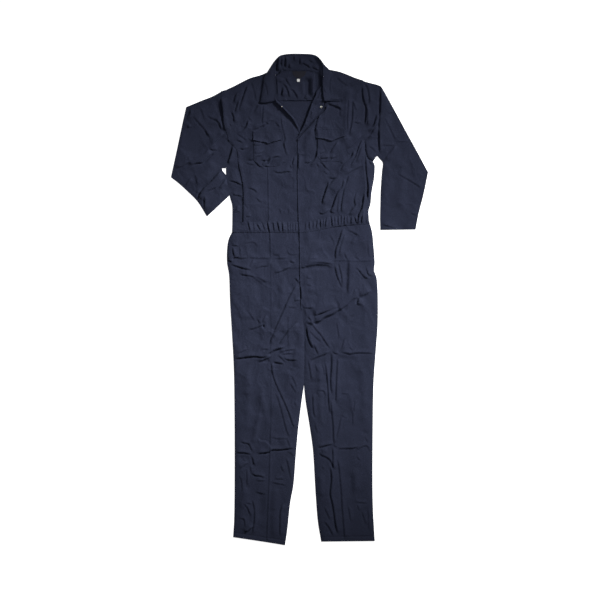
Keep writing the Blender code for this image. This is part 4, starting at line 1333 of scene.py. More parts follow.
@dataclass
class Trousers:
    """The trouser fronts and backs."""

    fly: str = "0,241 1,160 2,80 5,0 6,-33"
    crotch: str = "6,-33 11,-56"
    touching: str = "11,-56 17,-110 18,-200 16,-308"
    outseam_left: str = (
        "-243,242 -254,220 -260,190 -261,133 -254,90 -250,-11 -243,-126 -236,-270 -235,-780 -239,-856"
    )
    outseam_right: str = (
        "253,273 261,245 267,190 271,133 269,104 278,76 282,-80 275,-184 267,-300 264,-470"
        " 264,-730 271,-870"
    )
    inseam_left: str = "16,-308 6,-380 -5,-470 -13,-560 -22,-670 -33,-730 -44,-830 -52,-885"
    inseam_right: str = "16,-308 21,-360 37,-460 48,-540 58,-700 66,-800 78,-872"
    hem_left: str = "-239,-856 -120,-874 -52,-885"
    hem_right: str = "271,-870 78,-872"
    hem_deep: float = 17.0
    creases_left: str = """
        # pressed line of the leg
        fold 0.9 4  -10.9,25.5 -10.6,20 -10.4,14.5
        fold 0.25 4  -10.4,14 -10.3,0 -10.3,-20 -10.3,-42 -10.4,-46
        fold 0.7 4  -10.4,-45 -10.8,-60 -11.5,-78 -11.8,-87
        # hip
        fold 1.9 6  -22.2,14.7 -20.4,14.8 -18.6,15.2
        fold 1.1 6  -18.6,15.1 -16,14.9 -12.8,14.8 -10.2,14.8
        fold 1.2 6  -10,14.9 -7.5,14.7 -3.8,15
        fold 4.4 9  -26,14.1 -25.2,14 -24.2,13.4
        fold 2.4 6  -24.1,19.0 -23.8,17 -23.5,15.2
        fold 1.6 5  -24.7,19.9 -23.7,19.4 -21.7,19.3
        fold 1.2 5  -21.7,19.2 -21.4,17.6 -21.8,15.8
        fold 1.6 6  -23.5,14.9 -22.2,15.2 -21.6,15.1
        fold 1.8 6  -3.8,14.1 -2.6,13.4 -1.4,13.5
        fold 1.8 6  0.4,5 0.6,2 0.6,-0.4
        fold 1.2 7  -4.4,-2.6 -2.6,-2.9 -0.8,-2.8
        wave -2 9  -4,4.6 -2,4.6
        fold 3.0 7  -25,12.7 -22.6,12 -20,11.2 -16.8,10.6
        fold 1.5 6  -16.4,14.5 -17.3,13.2 -18.4,11.7
        fold 1.2 6  -15.8,10.6 -14,11.9 -11.5,12.1 -9.6,14.3
        fold 2.0 6  -22,9.2 -19,8.7 -17,8.3 -15.4,7.5
        fold 0.9 6  -15.8,8.4 -13.6,7.2 -11.4,5.8
        fold 1.1 5  -25.2,7.3 -23.6,7.3
        fold 1.6 6  -9,9.3 -6.8,10.1 -4.4,11.2 -2.4,12.4
        fold 0.8 6  -20,20 -16.4,20.6 -14.9,18.4
        fold 0.9 6  -4.4,18.6 -4,16.6 -2.4,16.1 0,16.5
        fold 2.4 6  -2,8 -1,7.1 0,5.6
        fold 1.4 7  -0.8,6 -2.2,3.5 -4,0 -5.5,-3.5 -7.5,-8 -9.2,-12 -10.9,-16.3
        fold 0.8 5  -5.9,-7.6 -8,-11 -9.6,-14
        fold 1.6 5  -2,-0.6 0.5,-0.1
        wave 1.4 11  -5.6,9 -6.2,3 -6.9,-4
        wave 1.4 22  -18,22 -19,17 -19,6
        wave -1.2 18  -14,8 -15,-4
        # thigh
        fold 3.0 7  -0.4,-8.1 -1.6,-8.9 -3.3,-10.4 -5.4,-13.3 -7.6,-16
        fold 0.6 6  -4.1,-5.8 -4.1,-17.3
        fold 1.4 6  -18.4,-11 -15.4,-10.1 -13.6,-9.3 -12.4,-9.2
        wave -3.2 5  -13.4,-9.7 -12.6,-9.6
        fold 1.4 6  -15.3,-6.8 -14,-8.9
        fold 1.4 6  -11.9,-5.4 -13.7,-8.2
        fold 1.0 7  -19.2,-3.2 -15.8,-8.2
        fold 3.0 8  -23.7,-21.4 -20,-20.9 -16.6,-20.5 -13,-20.7 -10.2,-19.8
        fold 3.2 9  -12.6,-20 -10.6,-19.2 -9.2,-18.3 -7,-17.6 -4.8,-17.1
        fold 3.2 8  -15,-22.8 -12.6,-21.6 -9.9,-20.3
        wave -3 6  -13,-22.3 -10.6,-21.9
        fold 3.0 8  -9.9,-22.5 -7.4,-22.8 -5.2,-23.4
        fold 2.0 6  -8.2,-19.8 -6.6,-21 -4.7,-23
        fold 1.7 6  -7.2,-19.4 -5,-18.4 -3.4,-18.2 -1.2,-17.8
        fold 1.8 6  -6.6,-19.8 -4,-19.5 -2,-19.4
        fold 2.0 6  -6.2,-20.6 -4.4,-21.6 -0.3,-21.8
        fold 1.4 6  -10.6,-17.9 -14,-17.9
        fold 1.0 6  -22.5,-19.7 -18.4,-17.6
        fold 2.1 6  -10.1,-22.4 -9.6,-27 -8.4,-30.5 -6.6,-34.5 -5,-38 -3.4,-42 -2.3,-45.2 -1.4,-46.4
        fold 1.2 7  -8.6,-33.4 -7.2,-37.4 -6,-41.8 -5,-46 -3.7,-49.8
        fold 1.4 7  -4.9,-49.4 -4,-51.6 -3,-53.8
        wave 1.3 10  -14.2,-33 -13.2,-37 -12.3,-41.5
        wave 1.3 9  -14,-40.6 -15.3,-45 -16,-49.6 -17.6,-52
        fold 1.2 7  -3.9,-29.4 -2.4,-31.7 -0.8,-34.3
        fold 0.9 7  -3.2,-27 -1.6,-30 -0.9,-33
        fold 0.7 6  -2.2,-36.6 -0.8,-38.8
        wave 1.4 16  -19,-24 -18.6,-36 -19,-48
        wave -2.6 22  -3.5,-21 -4,-27
        wave -1.8 14  -1,-11 -1.4,-19
        # knee
        fold 1.8 6  -21.6,-51 -20,-51.6 -18.2,-52 -17.6,-53.4 -16.5,-55.2
        fold 2.0 7  -23.4,-55.3 -21,-55.1 -19.2,-55.3 -17,-55.9
        fold 2.3 7  -15.4,-55.5 -13,-55.2 -11,-54.9 -10,-54.2 -7,-54.1 -4,-53.7 -1.6,-53.4
        back 1.1 8  -15.8,-49 -14.2,-51 -12.2,-51.3 -10.8,-52.8 -9.8,-54.2
        fold 0.8 7  -10.6,-49.4 -8,-50.1 -3.8,-50
        fold 2.2 9  -17.5,-55.9 -16.8,-57.5 -16.5,-59 -15.6,-60.2
        fold 1.1 6  -18,-58.5 -20,-59.8 -21.4,-61.3
        fold 0.9 6  -20.5,-57.2 -19.2,-58.4
        fold 1.1 6  -6.7,-59 -6.2,-61.2 -5,-62.5
        fold 1.3 8  -4.9,-56.8 -4.2,-59 -3.6,-62 -2.8,-65.4
        fold 1.0 6  -4.7,-54.8 -3,-55.4 -2,-57
        wave -1.6 12  -22.6,-57 -18,-57.2
        wave 1.4 13  -8,-50.6 -4,-50.8
        # shin
        fold 1.2 7  -17.6,-59.6 -17.6,-62.4
        fold 2.1 7  -17.9,-62.1 -16,-63.3 -14,-63.6 -12,-64.5
        fold 1.0 6  -15.8,-65.3 -11.8,-65.2
        fold 1.1 7  -22,-62.9 -20.9,-65 -20.6,-69.4
        fold 0.8 6  -18.9,-60.6 -18.9,-67.5
        fold 1.1 6  -16.2,-69.1 -14,-69.8 -11.8,-70.2
        fold 1.3 7  -17.2,-71.6 -16.3,-75 -16.2,-79 -17.1,-84.6
        fold 1.0 6  -19.8,-73.1 -17,-73.7
        fold 1.6 7  -20.4,-73 -18.6,-75.3 -17.5,-78.4
        fold 1.2 6  -22,-78.8 -20,-79.2 -19.7,-82.4
        fold 2.0 7  -16.2,-81.3 -18,-82.9 -19.9,-84.5
        fold 1.3 8  -5.6,-73 -6.8,-76 -7,-80 -7.1,-85.6
        fold 1.0 6  -9.2,-64.7 -5.4,-64.6
        fold 1.1 6  -10.4,-65.7 -7.4,-66.4 -4.4,-66.9
        wave 1.6 14  -8.6,-67 -9,-76 -9.4,-86
        wave 1.3 14  -19,-67 -21,-76
        wave -1.2 14  -14,-68 -14,-80
    """
    creases_right: str = """
        # hip
        fold 5.0 20  0.4,11.3 2.4,11.8 4.4,12.3 6.4,12.5 8.4,12.4 10.6,12.1 12.4,11.8
        fold 2.6 7  3.0,12.6 4.6,13.2 6.2,13.4 8.2,13.3 10.6,13.0 12.4,12.7
        wave -1.8 9  4.4,11.8 8,12 11.8,11.4
        fold 1.7 6  3.4,14 4.2,14.6 6.8,14.5
        fold 1.1 6  0.3,11.6 1.8,11.5 3.1,12.4
        fold 0.8 5  11.6,13.8 16,13.9 20,13.7 26.6,13.9
        fold 2.6 8  15.7,25.8 14.8,23 13.8,20 13.1,18 12.9,13.8
        fold 1.2 6  16.4,24 15,19.6 14.2,15.6
        fold 2.6 7  12.7,12.6 13.4,9 14.6,6 15.6,3.8
        fold 2.4 7  14,13.6 14.6,11 15.2,8 15.4,5
        fold 3.0 20  17.8,16 17.6,8 17.4,1
        fold 2.0 6  15.9,17.2 16.8,15.2 17.5,13.8
        fold 2.0 7  17,25 19,24.3 21.8,22.8
        fold 0.8 8  20.6,22.8 19.2,21.6 18.4,19.6
        fold 1.2 8  2.2,5.3 4.8,4.9
        fold 1.0 7  2.4,7.6 4.4,7.7
        fold 3.0 7  20,11.7 21.6,10.4 22.6,9 23.8,7.9 25.4,7.1
        fold 3.0 7  24.0,12 24.4,10.2 25,8.9 27.2,8.5
        fold 1.1 6  19.6,15.6 22.2,13.9
        fold 0.9 6  24.6,20.6 24.8,17 25.6,14.4
        fold 0.8 6  10.6,23.5 12.2,21 12.7,18.6
        wave 1.5 22  6,22 6.5,17
        wave 1.2 14  3.4,-2.9 6,-2.9
        fold 1.6 7  0.9,-2.9 3,-3.1 5.4,-2.8
        # the long drag across the thigh
        fold 6.0 14  4.0,-8.4 7.4,-7.9 9.2,-6.4 12.2,-5.3 14.6,-4.0
        fold 4.0 14  5.0,-6.3 6.5,-5.4 10,-4.1 14.4,-2.9
        fold 8.0 14  13.6,-4.1 15.4,-3.1 17,-1.7 18.5,-0.1 19.5,0.6 21.5,0.4
        wave -4 5  4.9,-8.5 7.8,-8.0 9.8,-6.3 12.6,-5.2 15.4,-3.6
        wave 4 5  5.2,-7.0 8,-6.0 11,-4.6 14.4,-3.2
        wave -3 5  6,-5.6 8.6,-4.6 11.4,-3.5 13.8,-3
        fold 3.0 9  5.2,-6.2 7,-5.2 10.6,-3.9 14.2,-2.6
        fold 5.0 9  15.2,-2.3 17,-0.5 18.6,0.7 19.6,2.2 20,4.0
        fold 5.0 9  21.5,0.8 21.2,-0.4 20.7,-1.9
        fold 3.0 14  21.4,0.6 24,2.0 26.4,3.4
        # crotch
        fold 1.4 5  1.5,-7.8 2.5,-10
        fold 1.1 5  2.9,-7.9 4.7,-8.7
        fold 2.2 6  2.4,-6 3.8,-7 4.4,-8.6 5.8,-10.6 8,-13.2 9,-14.8 11.2,-17.9
        fold 4.0 8  2.4,-9 2.8,-12 3.4,-14.6 4.6,-17 5.6,-18
        fold 3.0 7  2.2,-8.6 3.6,-8.6 4.6,-9.6
        fold 2.8 7  4.9,-15.4 6,-18 7,-20.3
        fold 1.5 6  3.4,-11 5.6,-13.4 8.2,-15.6
        fold 1.1 7  13.4,-7.6 14.3,-14.4
        # the fold across the leg
        fold 1.7 7  3.8,-22.2 5.8,-21 7.6,-20.3 9.4,-19.6 11,-18.6
        fold 2.0 7  11.6,-18.6 13,-19.4 14.4,-19.4
        fold 2.4 7  14.6,-19 17,-19.3 18.4,-19.6 20,-19.2 23.6,-19.2 27.2,-19.4
        fold 1.0 6  17.6,-16.8 19.6,-18.7
        fold 1.0 6  16.4,-13.8 15,-18
        # down the leg
        fold 2.6 8  9.3,-22.4 9.9,-27.6 10.3,-32 10.5,-36 11,-41.4
        fold 1.3 7  8,-22.8 8.8,-25.4 9,-28
        fold 3.6 11  11.6,-18.8 11.6,-24 11.3,-28 11.4,-32 12,-34.6
        fold 2.2 8  11.4,-36 11.6,-40 12.1,-45 12.3,-50 12.5,-52.4
        fold 2.2 8  13.8,-20.8 13.4,-28 13.1,-37.6
        fold 1.6 7  3.1,-21.6 3.8,-25.4 4.4,-29.4
        fold 1.0 6  5.5,-22.8 6.5,-26.4
        fold 1.8 6  6.2,-32.9 8.6,-32.9 9.6,-35.2
        fold 1.6 7  4.8,-33.6 4.9,-38 5.2,-41 5.9,-43
        fold 1.0 7  5.5,-43.8 5.8,-46 7,-48.8
        fold 1.0 6  14.8,-34 17.8,-33.9
        fold 1.0 6  14.7,-41.3 16,-42.2 17.4,-42.7
        wave 1.4 9  17.8,-32.6 19.8,-42.6
        fold 0.9 6  20,-35.6 19.6,-41
        fold 0.8 6  19.2,-39.7 19.2,-46
        fold 0.9 8  13.2,-50.6 14.3,-46 15.2,-41.4
        wave 1.6 16  22.6,-22 23.4,-34 23,-45
        wave 1.5 10  7.4,-23 7.4,-34 8,-46
        # knee
        fold 2.0 8  6.2,-53.3 7.8,-53 10,-52.4 12.6,-52
        wave 1.6 8  7.6,-54.6 10.4,-54.2
        fold 2.4 8  6.6,-54.9 8,-56 9.8,-56.8 11,-57.8 11.8,-59.4 12.4,-61.4
        fold 2.4 8  12,-52.8 12.1,-58 12.2,-61.6
        fold 1.3 6  12.2,-52.5 13.6,-53.3
        fold 1.8 6  13.6,-53.7 17,-53.6 19.8,-53.4 21.4,-52.7
        fold 1.4 6  20.4,-54.4 23,-52.8 24.4,-52.7 25,-54 25.6,-55.4
        fold 1.1 6  23.5,-49.3 24.8,-51.7
        fold 1.1 6  20.7,-56 21.2,-57.4 22.4,-57.9
        wave -1.4 8  21.8,-47.6 25.2,-48.4
        fold 0.9 6  8,-59.8 8.9,-61.4
        # shin
        fold 3.0 10  11,-59.6 11.6,-64 11.2,-70 12,-74 12.6,-78 13.2,-82 14.1,-84.9
        fold 1.6 8  13.7,-57 14.3,-61 14.7,-65 15.1,-70 15.4,-75 15.8,-80 16.3,-86.6
        fold 1.2 7  8.7,-74.2 11.2,-79.8
        fold 2.0 7  8.6,-79.6 10.6,-82 12.2,-85.4
        fold 1.1 7  17.5,-73.7 18.5,-80.4
        fold 1.0 6  20.7,-73.6 21.7,-76.3
        fold 1.1 7  22.3,-75.8 24.1,-81.4
        fold 0.9 7  24.7,-74.7 25,-83.4
        fold 1.0 6  19.6,-73 22,-73.1 25,-73.4
        wave 1.6 14  20,-60 20.4,-70
        wave 1.6 12  7.6,-62 8,-72
        wave -1.2 12  18.4,-62 18.6,-72
    """
    strength: float = 1.4

    def __post_init__(self) -> None:
        """Draws the seams and works out how the cloth lies."""
        self.centre = np.vstack([drawn(self.fly), drawn(self.crotch)[1:], drawn(self.touching)[1:]])
        self.outseams = [drawn(self.outseam_left), drawn(self.outseam_right)]
        self.inseams = [drawn(self.inseam_left), drawn(self.inseam_right)]
        self.hems = [drawn(self.hem_left), drawn(self.hem_right)]
        legs = drawn(self.touching)
        bands = "".join(
            f"\ndip 0.5 1.6  {a[0] / CM},{(a[1] + self.hem_deep) / CM} {b[0] / CM},{(b[1] + self.hem_deep) / CM}"
            for a, b in ((hem[0], hem[-1]) for hem in self.hems)
        )
        relief = Relief(self.creases_left + self.creases_right + bands + Waist().gathers, self.strength)
        edges = np.vstack([*self.outseams, *self.inseams, legs])
        self.left_top = Laid(level_at(WALL), relief, air=3.6, edges=edges, ease=9.0, seed=5)

    def right_top(self, xy: Points) -> Heights:
        """The upper side of the right leg's front, which lies over the left one's underlap at the fly."""
        lap = 1 - between(xy[:, 0], Waist.underlap, Waist.underlap + 28)
        lap *= 1.25 * between(xy[:, 1], -42, 4) + 1.2 * between(xy[:, 1], 205, 232)
        return self.left_top(xy) + lap + 1.3 * np.exp(-away_from(xy, drawn(self.fly)) / 7.0)

    def build(self, waist: Waist, twill: bpy.types.Material) -> None:
        """Makes the four pieces."""
        top_left, top_right = waist.line_foot_left(), waist.line_foot_right()
        fly = self.centre
        back_left = joined(top_left, fly, self.inseams[0], self.hems[0][::-1], self.outseams[0][::-1])
        back_right = joined(top_right, self.outseams[1], self.hems[1], self.inseams[1][::-1], fly[::-1])
        for node, outline in (("trouser_back_left", back_left), ("trouser_back_right", back_right)):
            Cloth(node, outline, level_at(FLOOR_GAP + WALL), ("floor",), PLAIN).build(twill)
        lift = (0, waist.tuck)
        left = joined(
            top_left + lift, drawn(f"0,246 | {waist.underlap},246 | {waist.underlap},20 | 30,-5 | 6,-33"),
            drawn(self.crotch),
            drawn(self.touching)[1:], self.inseams[0], self.hems[0][::-1], self.outseams[0][::-1],
        )
        Cloth("trouser_front_left", left, self.left_top, ("trouser_back_left_cloth",)).build(twill)
        right = joined(
            top_right + lift, self.outseams[1], self.hems[1], self.inseams[1][::-1], fly[::-1],
        )
        rests_on = ("trouser_back_right_cloth", "trouser_front_left_cloth")
        Cloth("trouser_front_right", right, self.right_top, rests_on).build(twill)


@dataclass
class Sleeve:
    """A sleeve, flattened: one cloth folded at both its long edges, open at armhole and cuff."""

    side: str
    outer: str
    touching: tuple[tuple[float, float], ...]  # from where to where down it lies against the suit's side
    free: str  # its inner edge between and below those
    inner_row: str = ""  # where stitches run along the inner edge

    def inner(self, side: Points) -> Points:
        """Its inner edge, from the underarm to the cuff."""
        parts = [side[(side[:, 1] <= top + 0.1) & (side[:, 1] >= foot)] for top, foot in self.touching]
        free = drawn(self.free)
        parts.insert(1, free)
        return np.vstack(parts)

    def edges(self, side: Points) -> Points:
        """The lines that it is folded at."""
        return np.vstack([drawn(self.outer), self.inner(side)])

    def build(self, bodice: Bodice, twill: bpy.types.Material, stitching: Stitching) -> None:
        """Makes the sleeve."""
        left = self.side == "left"
        outer, inner = drawn(self.outer), self.inner(bodice.sides[0 if left else 1])
        hole = bodice.armholes[0 if left else 1]
        cuff = evenly(np.vstack([outer[-1], inner[-1]]), MEDIUM)
        outline = joined(hole[::-1], outer[1:], cuff[1:], inner[::-1])
        folded_cloth(
            f"sleeve_{self.side}", outline, [outline], bodice.side_top, (outer, inner),
            twill, MEDIUM,
        )
        up = (outer[-8] - outer[-1]) / np.linalg.norm(outer[-8] - outer[-1])
        stitching.row(cuff[1:-1] + 18.0 * up, bodice.side_top)
        if self.inner_row:
            for off in (0.0, 3.0):
                stitching.row(drawn(self.inner_row) + (off, 0), bodice.side_top)


SLEEVE_LEFT = Sleeve(
    "left",
    "-279,750 -312,732 -360,713 -408,693 | -420,640 -437,560 -463,440 | -434,417 -400,386 -367,352 -333,298",
    ((562, 474), (450, 374)),
    "-266,472 | -279,472 | -277,464 -266,450",
)
SLEEVE_RIGHT = Sleeve(
    "right",
    "226,788 252,780 280,773 293,767 300,757 340,685 385,602 430,520 463,458 | 447,380 428,305 418,252",
    ((572, 492),),
    "265,497 271,506 279,517 | 291,503 299,493 297,460 294,420 292,390 291,340 290,295 291,250",
    inner_row="297,470 294,420 293,370 294,270",
)


@dataclass
class Collar:
    """The collar, folded over all round: its stand, its falls, and the lapel and facing that go on from it."""

    roll_line: str = (
        "-88,800 -89,825 -87,848 -81,866 -72,877 -50,883 0,885 58,879 74,863 83,846 85,820 85,800"
    )
    outer_left: str = "-72,877 -83,867 -94,854 -103,840 -117,818 -126,802 -131,780 -136,750 -143,708"
    foot_left: str = "-143,708 -120,709 -99,713 -81,718"
    inner_left: str = "-81,718 -84,750 -88,800 -89,825 -87,848 -81,866 -72,877"
    outer_right: str = "58,879 76,864 90,845 106,829 119,812 124,790 129,754 147,714"
    foot_right: str = "147,714 120,714 90,715"
    inner_right: str = "90,715 86,740 84,770 85,800 85,820 83,846 74,863 58,879"
    under: str = (
        "-103,840 -94,854 -83,867 -72,877 -50,883 0,885 58,879 76,864 90,845 106,829 | 100,809 0,807 -104,809 | -103,840"
    )
    lapel_end: str = "90,715 86,740 84,770 79,770"
    strip: str = "-79,715 -61,699 -37,673 -19,653 -7,631 -3,620"
    wall: float = 1.6
    creases: str = """
        fold 6.0 9  -7.5,88.2 -7.8,84.5 -7.7,81.6
        fold 3.4 7  -6.2,82.6 -7.4,81.3 -8.7,79.8
        fold 1.2 6  -6.2,82.6 -4.4,82.7
        fold 2.2 6  -6.3,88 -6.4,85 -6.4,83.3
        fold 4.4 8  -5.0,88.2 -4.9,85.4 -5.1,83.0
        fold 1.8 6  -3.6,85 -3.6,83
        fold 2.2 7  0.2,87.2 0.3,84.4
        fold 1.6 6  -2,88 -1.8,85.6
        fold 3.0 7  0.8,85.5 2.2,84.7 3.3,84 4.4,83
        fold 2.4 6  4.4,83.7 6.0,83 7,82.5
        fold 1.6 6  3.2,86.6 4.4,85.6 5.6,85.4
        dip 0.5 1.8  -6.6,87.6 0,87.7 5.4,87.2
    """
    falls: str = """
        fold 1.4 8  -12.9,79 -11.6,76 -11.4,73
        wave 1.2 12  -9.8,83 -10.6,78 -10.6,74
        fold 1.2 7  -9.6,84 -11.6,81.2
        fold 1.0 7  11.6,80.8 11,77 11.4,73.5
        fold 1.3 6  8.6,77 8.9,75.3 9.9,74.1
        wave 1.0 10  9.8,82 10.2,76
    """
    lapel_creases: str = """
        fold 1.5 6  8.5,77.2 8,75.4 7.8,73.4
        fold 1.2 5  6.2,72.4 7.2,74 7.3,75.6
        fold 1.3 6  5.6,69.6 7,71.2 8.7,71.8
        fold 1.0 6  3.4,65.6 4.2,66.6 4.4,68.4
        fold 1.0 6  1.6,62.8 2.2,64.2
    """

    def __post_init__(self) -> None:
        """Draws the lines."""
        self.roll = drawn(self.roll_line)
        self.feet = [drawn(self.foot_left), drawn(self.foot_right)]
        self.inners = [drawn(self.inner_left), drawn(self.inner_right)]
        self.relief = Relief(self.creases, 2.3)
        self.fall_relief = Relief(self.falls, 1.8)
        self.lapel_relief = Relief(self.lapel_creases, 1.5)

    def build(self, bodice: Bodice, twill: bpy.types.Material, stitching: Stitching) -> None:
        """Makes the collar, the lapel and the facing's strip."""
        top_edge = self.roll[self.roll[:, 1] > 874]
        left_roll = self.roll[(self.roll[:, 1] < 874) & (self.roll[:, 0] < 0)]
        right_roll = self.roll[(self.roll[:, 1] < 874) & (self.roll[:, 0] > 0)]
        outers = [drawn(self.outer_left), drawn(self.outer_right)]
        lapel_edge = bodice.lapel

        def stand_top(xy: Points) -> Heights:
            turned = 1 - np.exp(-away_from(xy, top_edge) / 4.5)
            rolled = away_from(xy, left_roll)
            above_seam = between(away_from(xy, bodice.neck), 1, 9)
            rise = 3.0 * np.exp(-rolled / 12.0) * above_seam
            wall = away_from(xy, right_roll)
            rise += 10.0 * np.exp(-((wall / 14.0) ** 1.4)) - 6.0 * np.exp(-(((wall - 23.0) / 9.0) ** 2))
            rise = higher(rise, 4.5 * np.exp(-away_from(xy, top_edge) / 26.0), 1.0) + self.relief(xy)
            level = 2.95 + (np.maximum(bodice.back_top(xy) - 1.15 + rise, 0.2)) * turned
            level = higher(level, 13.8 * above_seam * np.exp(-((rolled / 3.5) ** 2)), 0.5)
            return lower(level, 16.4, 1.0)

        def fall_top(xy: Points) -> Heights:
            inner = np.minimum(away_from(xy, self.inners[0]), away_from(xy, self.inners[1]))
            free = away_from(xy, np.vstack([*self.feet, *outers]))
            lying = bodice.front_top(xy) + self.wall + 0.6
            bent = self.fall_relief(xy) + 0.5 * rumple(xy, 34.0, 21)
            right = between(xy[:, 0], -20, 20)
            rolled = 12.2 + 1.8 * np.exp(-inner / 6.0) + (1 - right) * 2.4 * between(inner, 3, 42)
            rolled += right * (1.4 + 1.6 * np.exp(-inner / 6.0) - 7.0 * between(inner, 1, 42))
            rolled -= 2.2 * np.exp(-free / 3.0) + 2.8 * np.exp(-away_from(xy, outers[0]) / 6.0)
            rolled += 3.0 * np.exp(-away_from(xy, self.feet[1][-1:]) / 24.0)
            rolled += 3.0 * np.exp(-away_from(xy, self.feet[0][-1:]) / 18.0)
            return lower(higher(lying + 0.4, rolled + bent, 1.5), 16.6, 1.0)

        def lapel_top(xy: Points) -> Heights:
            rolled = 3.0 * np.exp(-away_from(xy, bodice.roll) / 9.0)
            rolled += 6.5 * np.exp(-away_from(xy, lapel_edge) / 5.0)
            top = bodice.right_top(xy) + WALL + 0.2 + np.maximum(rolled + self.lapel_relief(xy), 0.0)
            return lower(top, 14.0, 0.6)

        def strip_top(xy: Points) -> Heights:
            return bodice.front_top(xy) + WALL + 0.3

        on_front = ("front_left_cloth", "front_right_cloth")
        below = joined(drawn(self.under))
        flat_under = Cloth(
            "collar_fall_under", below, level_at(FLOOR_GAP + 1.2), ("floor",), PLAIN, wall=1.2,
        )
        flat_under.build(twill)
        stand = joined(self.roll, bodice.neck[::-1])
        Cloth(
            "collar_stand", stand, stand_top, ("collar_fall_under_cloth", "back_yoke_cloth"), 2.2, wall=self.wall,
        ).build(twill)
        for side, outer, foot, inner, lies_on in zip(("left", "right"), outers, self.feet, self.inners, on_front):
            outline = joined(outer, foot[1:], inner[1:])
            Cloth(f"collar_fall_{side}", outline, fall_top, (lies_on,), 2.2, wall=self.wall).build(twill)
            inward = 6.0 if side == "left" else -6.0
            stitching.row(beside(outer, inward)[6:-2], fall_top)
            stitching.row(beside(foot, inward)[3:-3], fall_top)
        lapel = joined(bodice.lapel, drawn(self.lapel_end), bodice.roll[bodice.roll[:, 1] < 770])
        Cloth("lapel_right", lapel, lapel_top, (on_front[1],), 2.2).build(twill)
        stitching.row(beside(bodice.lapel, 6.0)[4:-3], lapel_top)
        stitching.row(beside(self.roll, -8.0)[30:-30], stand_top)
        strip = drawn(self.strip)
        facing = joined(strip, beside(strip, -5.5)[::-1])
        Cloth("facing_left", facing, strip_top, (on_front[0],), 2.0).build(twill)
        self.lapel_top, self.strip_top = lapel_top, strip_top


@dataclass
class ChestPocket:
    """A patch pocket with its flap, held down by a hidden stud."""

    side: str
    bag: str
    flap: str
    stud: tuple[float, float]
    top_rows: tuple[str, str]
    short_rows: tuple[float, float]

    def build(self, front: Surface, twill: bpy.types.Material, stitching: Stitching) -> None:
        """Makes the bag and the flap."""
        bag, flap = drawn(self.bag), drawn(self.flap)
        flap_edge = flap[self.foot_range(flap)]

        def bag_top(xy: Points) -> Heights:
            off = away_from(xy, bag)
            return front(xy) + WALL + 0.3 + 0.8 * (1 - np.exp(-off / 14.0))

        def flap_top(xy: Points) -> Heights:
            low = 1 - between(xy[:, 1] - self.stud[1], -16, 4)
            towards = 1 + 0.5 * between(xy[:, 0] - self.stud[0], -6, 40)
            stands = (0.6 + 3.0 * low * towards) * np.exp(-away_from(xy, flap_edge) / 8.0)
            stands += (0.4 + 0.9 * low) * np.exp(-away_from(xy, flap) / 3.0)
            stands += 0.9 * np.exp(-((away_from(xy, drawn(self.top_rows[0])) / 2.0) ** 2))
            bump = 1.5 * np.exp(-(np.linalg.norm(xy - self.stud, axis=1) / 8.0) ** 2)
            wavy = 0.35 * rumple(xy, 22.0, 31)
            top = bag_top(xy) + WALL + 0.35 + stands + bump + np.maximum(wavy, -0.2)
            return lower(top, 15.4, 1.0)

        bag_outline, flap_outline = joined(bag), joined(flap)
        rests_on = (f"front_{self.side}_cloth",)
        Cloth(f"chest_pocket_{self.side}", bag_outline, bag_top, rests_on, FINE).build(twill)
        rests_on = (f"chest_pocket_{self.side}_cloth",)
        Cloth(f"pocket_flap_{self.side}", flap_outline, flap_top, rests_on, 2.2).build(twill)
        for off in (2.2, 7.5):
            stitching.row(beside(bag, off)[4:-4], bag_top)
        for row in self.top_rows:
            stitching.row(drawn(row), flap_top)
        stitching.row(beside(flap_edge, 6.0)[1:-1], flap_top)
        for x in self.short_rows:
            stitching.row(path(f"{x},{self.stud[1] + 9} {x},{self.stud[1] - 9}"), flap_top)

    def foot_range(self, flap: Points) -> slice:
        """Which of the flap's points are on its free edges."""
        corner = [int(np.argmin(np.linalg.norm(flap - p, axis=1))) for p in path(self.flap.replace("|", " "))[[0, -2]]]
        return slice(min(corner), max(corner) + 1)


POCKET_LEFT = ChestPocket(
    "left",
    "-62,609 | -164,608 | -164,500 | -146,480 | -80,480 | -62,500 | -62,609",
    "-166,608 | -166,575 | -140,569 -122,567 -111,562 -98,568 -86,570 -61,577 | -61,610 | -166,608",
    (-114.0, 587.0),
    ("-163,604 -64,606", "-163,599 -64,601"),
    (-123.0, -106.0),
)
POCKET_RIGHT = ChestPocket(
    "right",
    "63,617 | 63,516 | 80,498 | 148,498 | 168,518 | 168,620 | 63,617",
    "61,618 | 61,583 | 90,579 119,572 130,577 150,585 170,590 | 170,621 | 61,618",
    (121.0, 590.0),
    ("64,613 167,616", "64,608 167,611"),
    (112.0, 138.0),
)


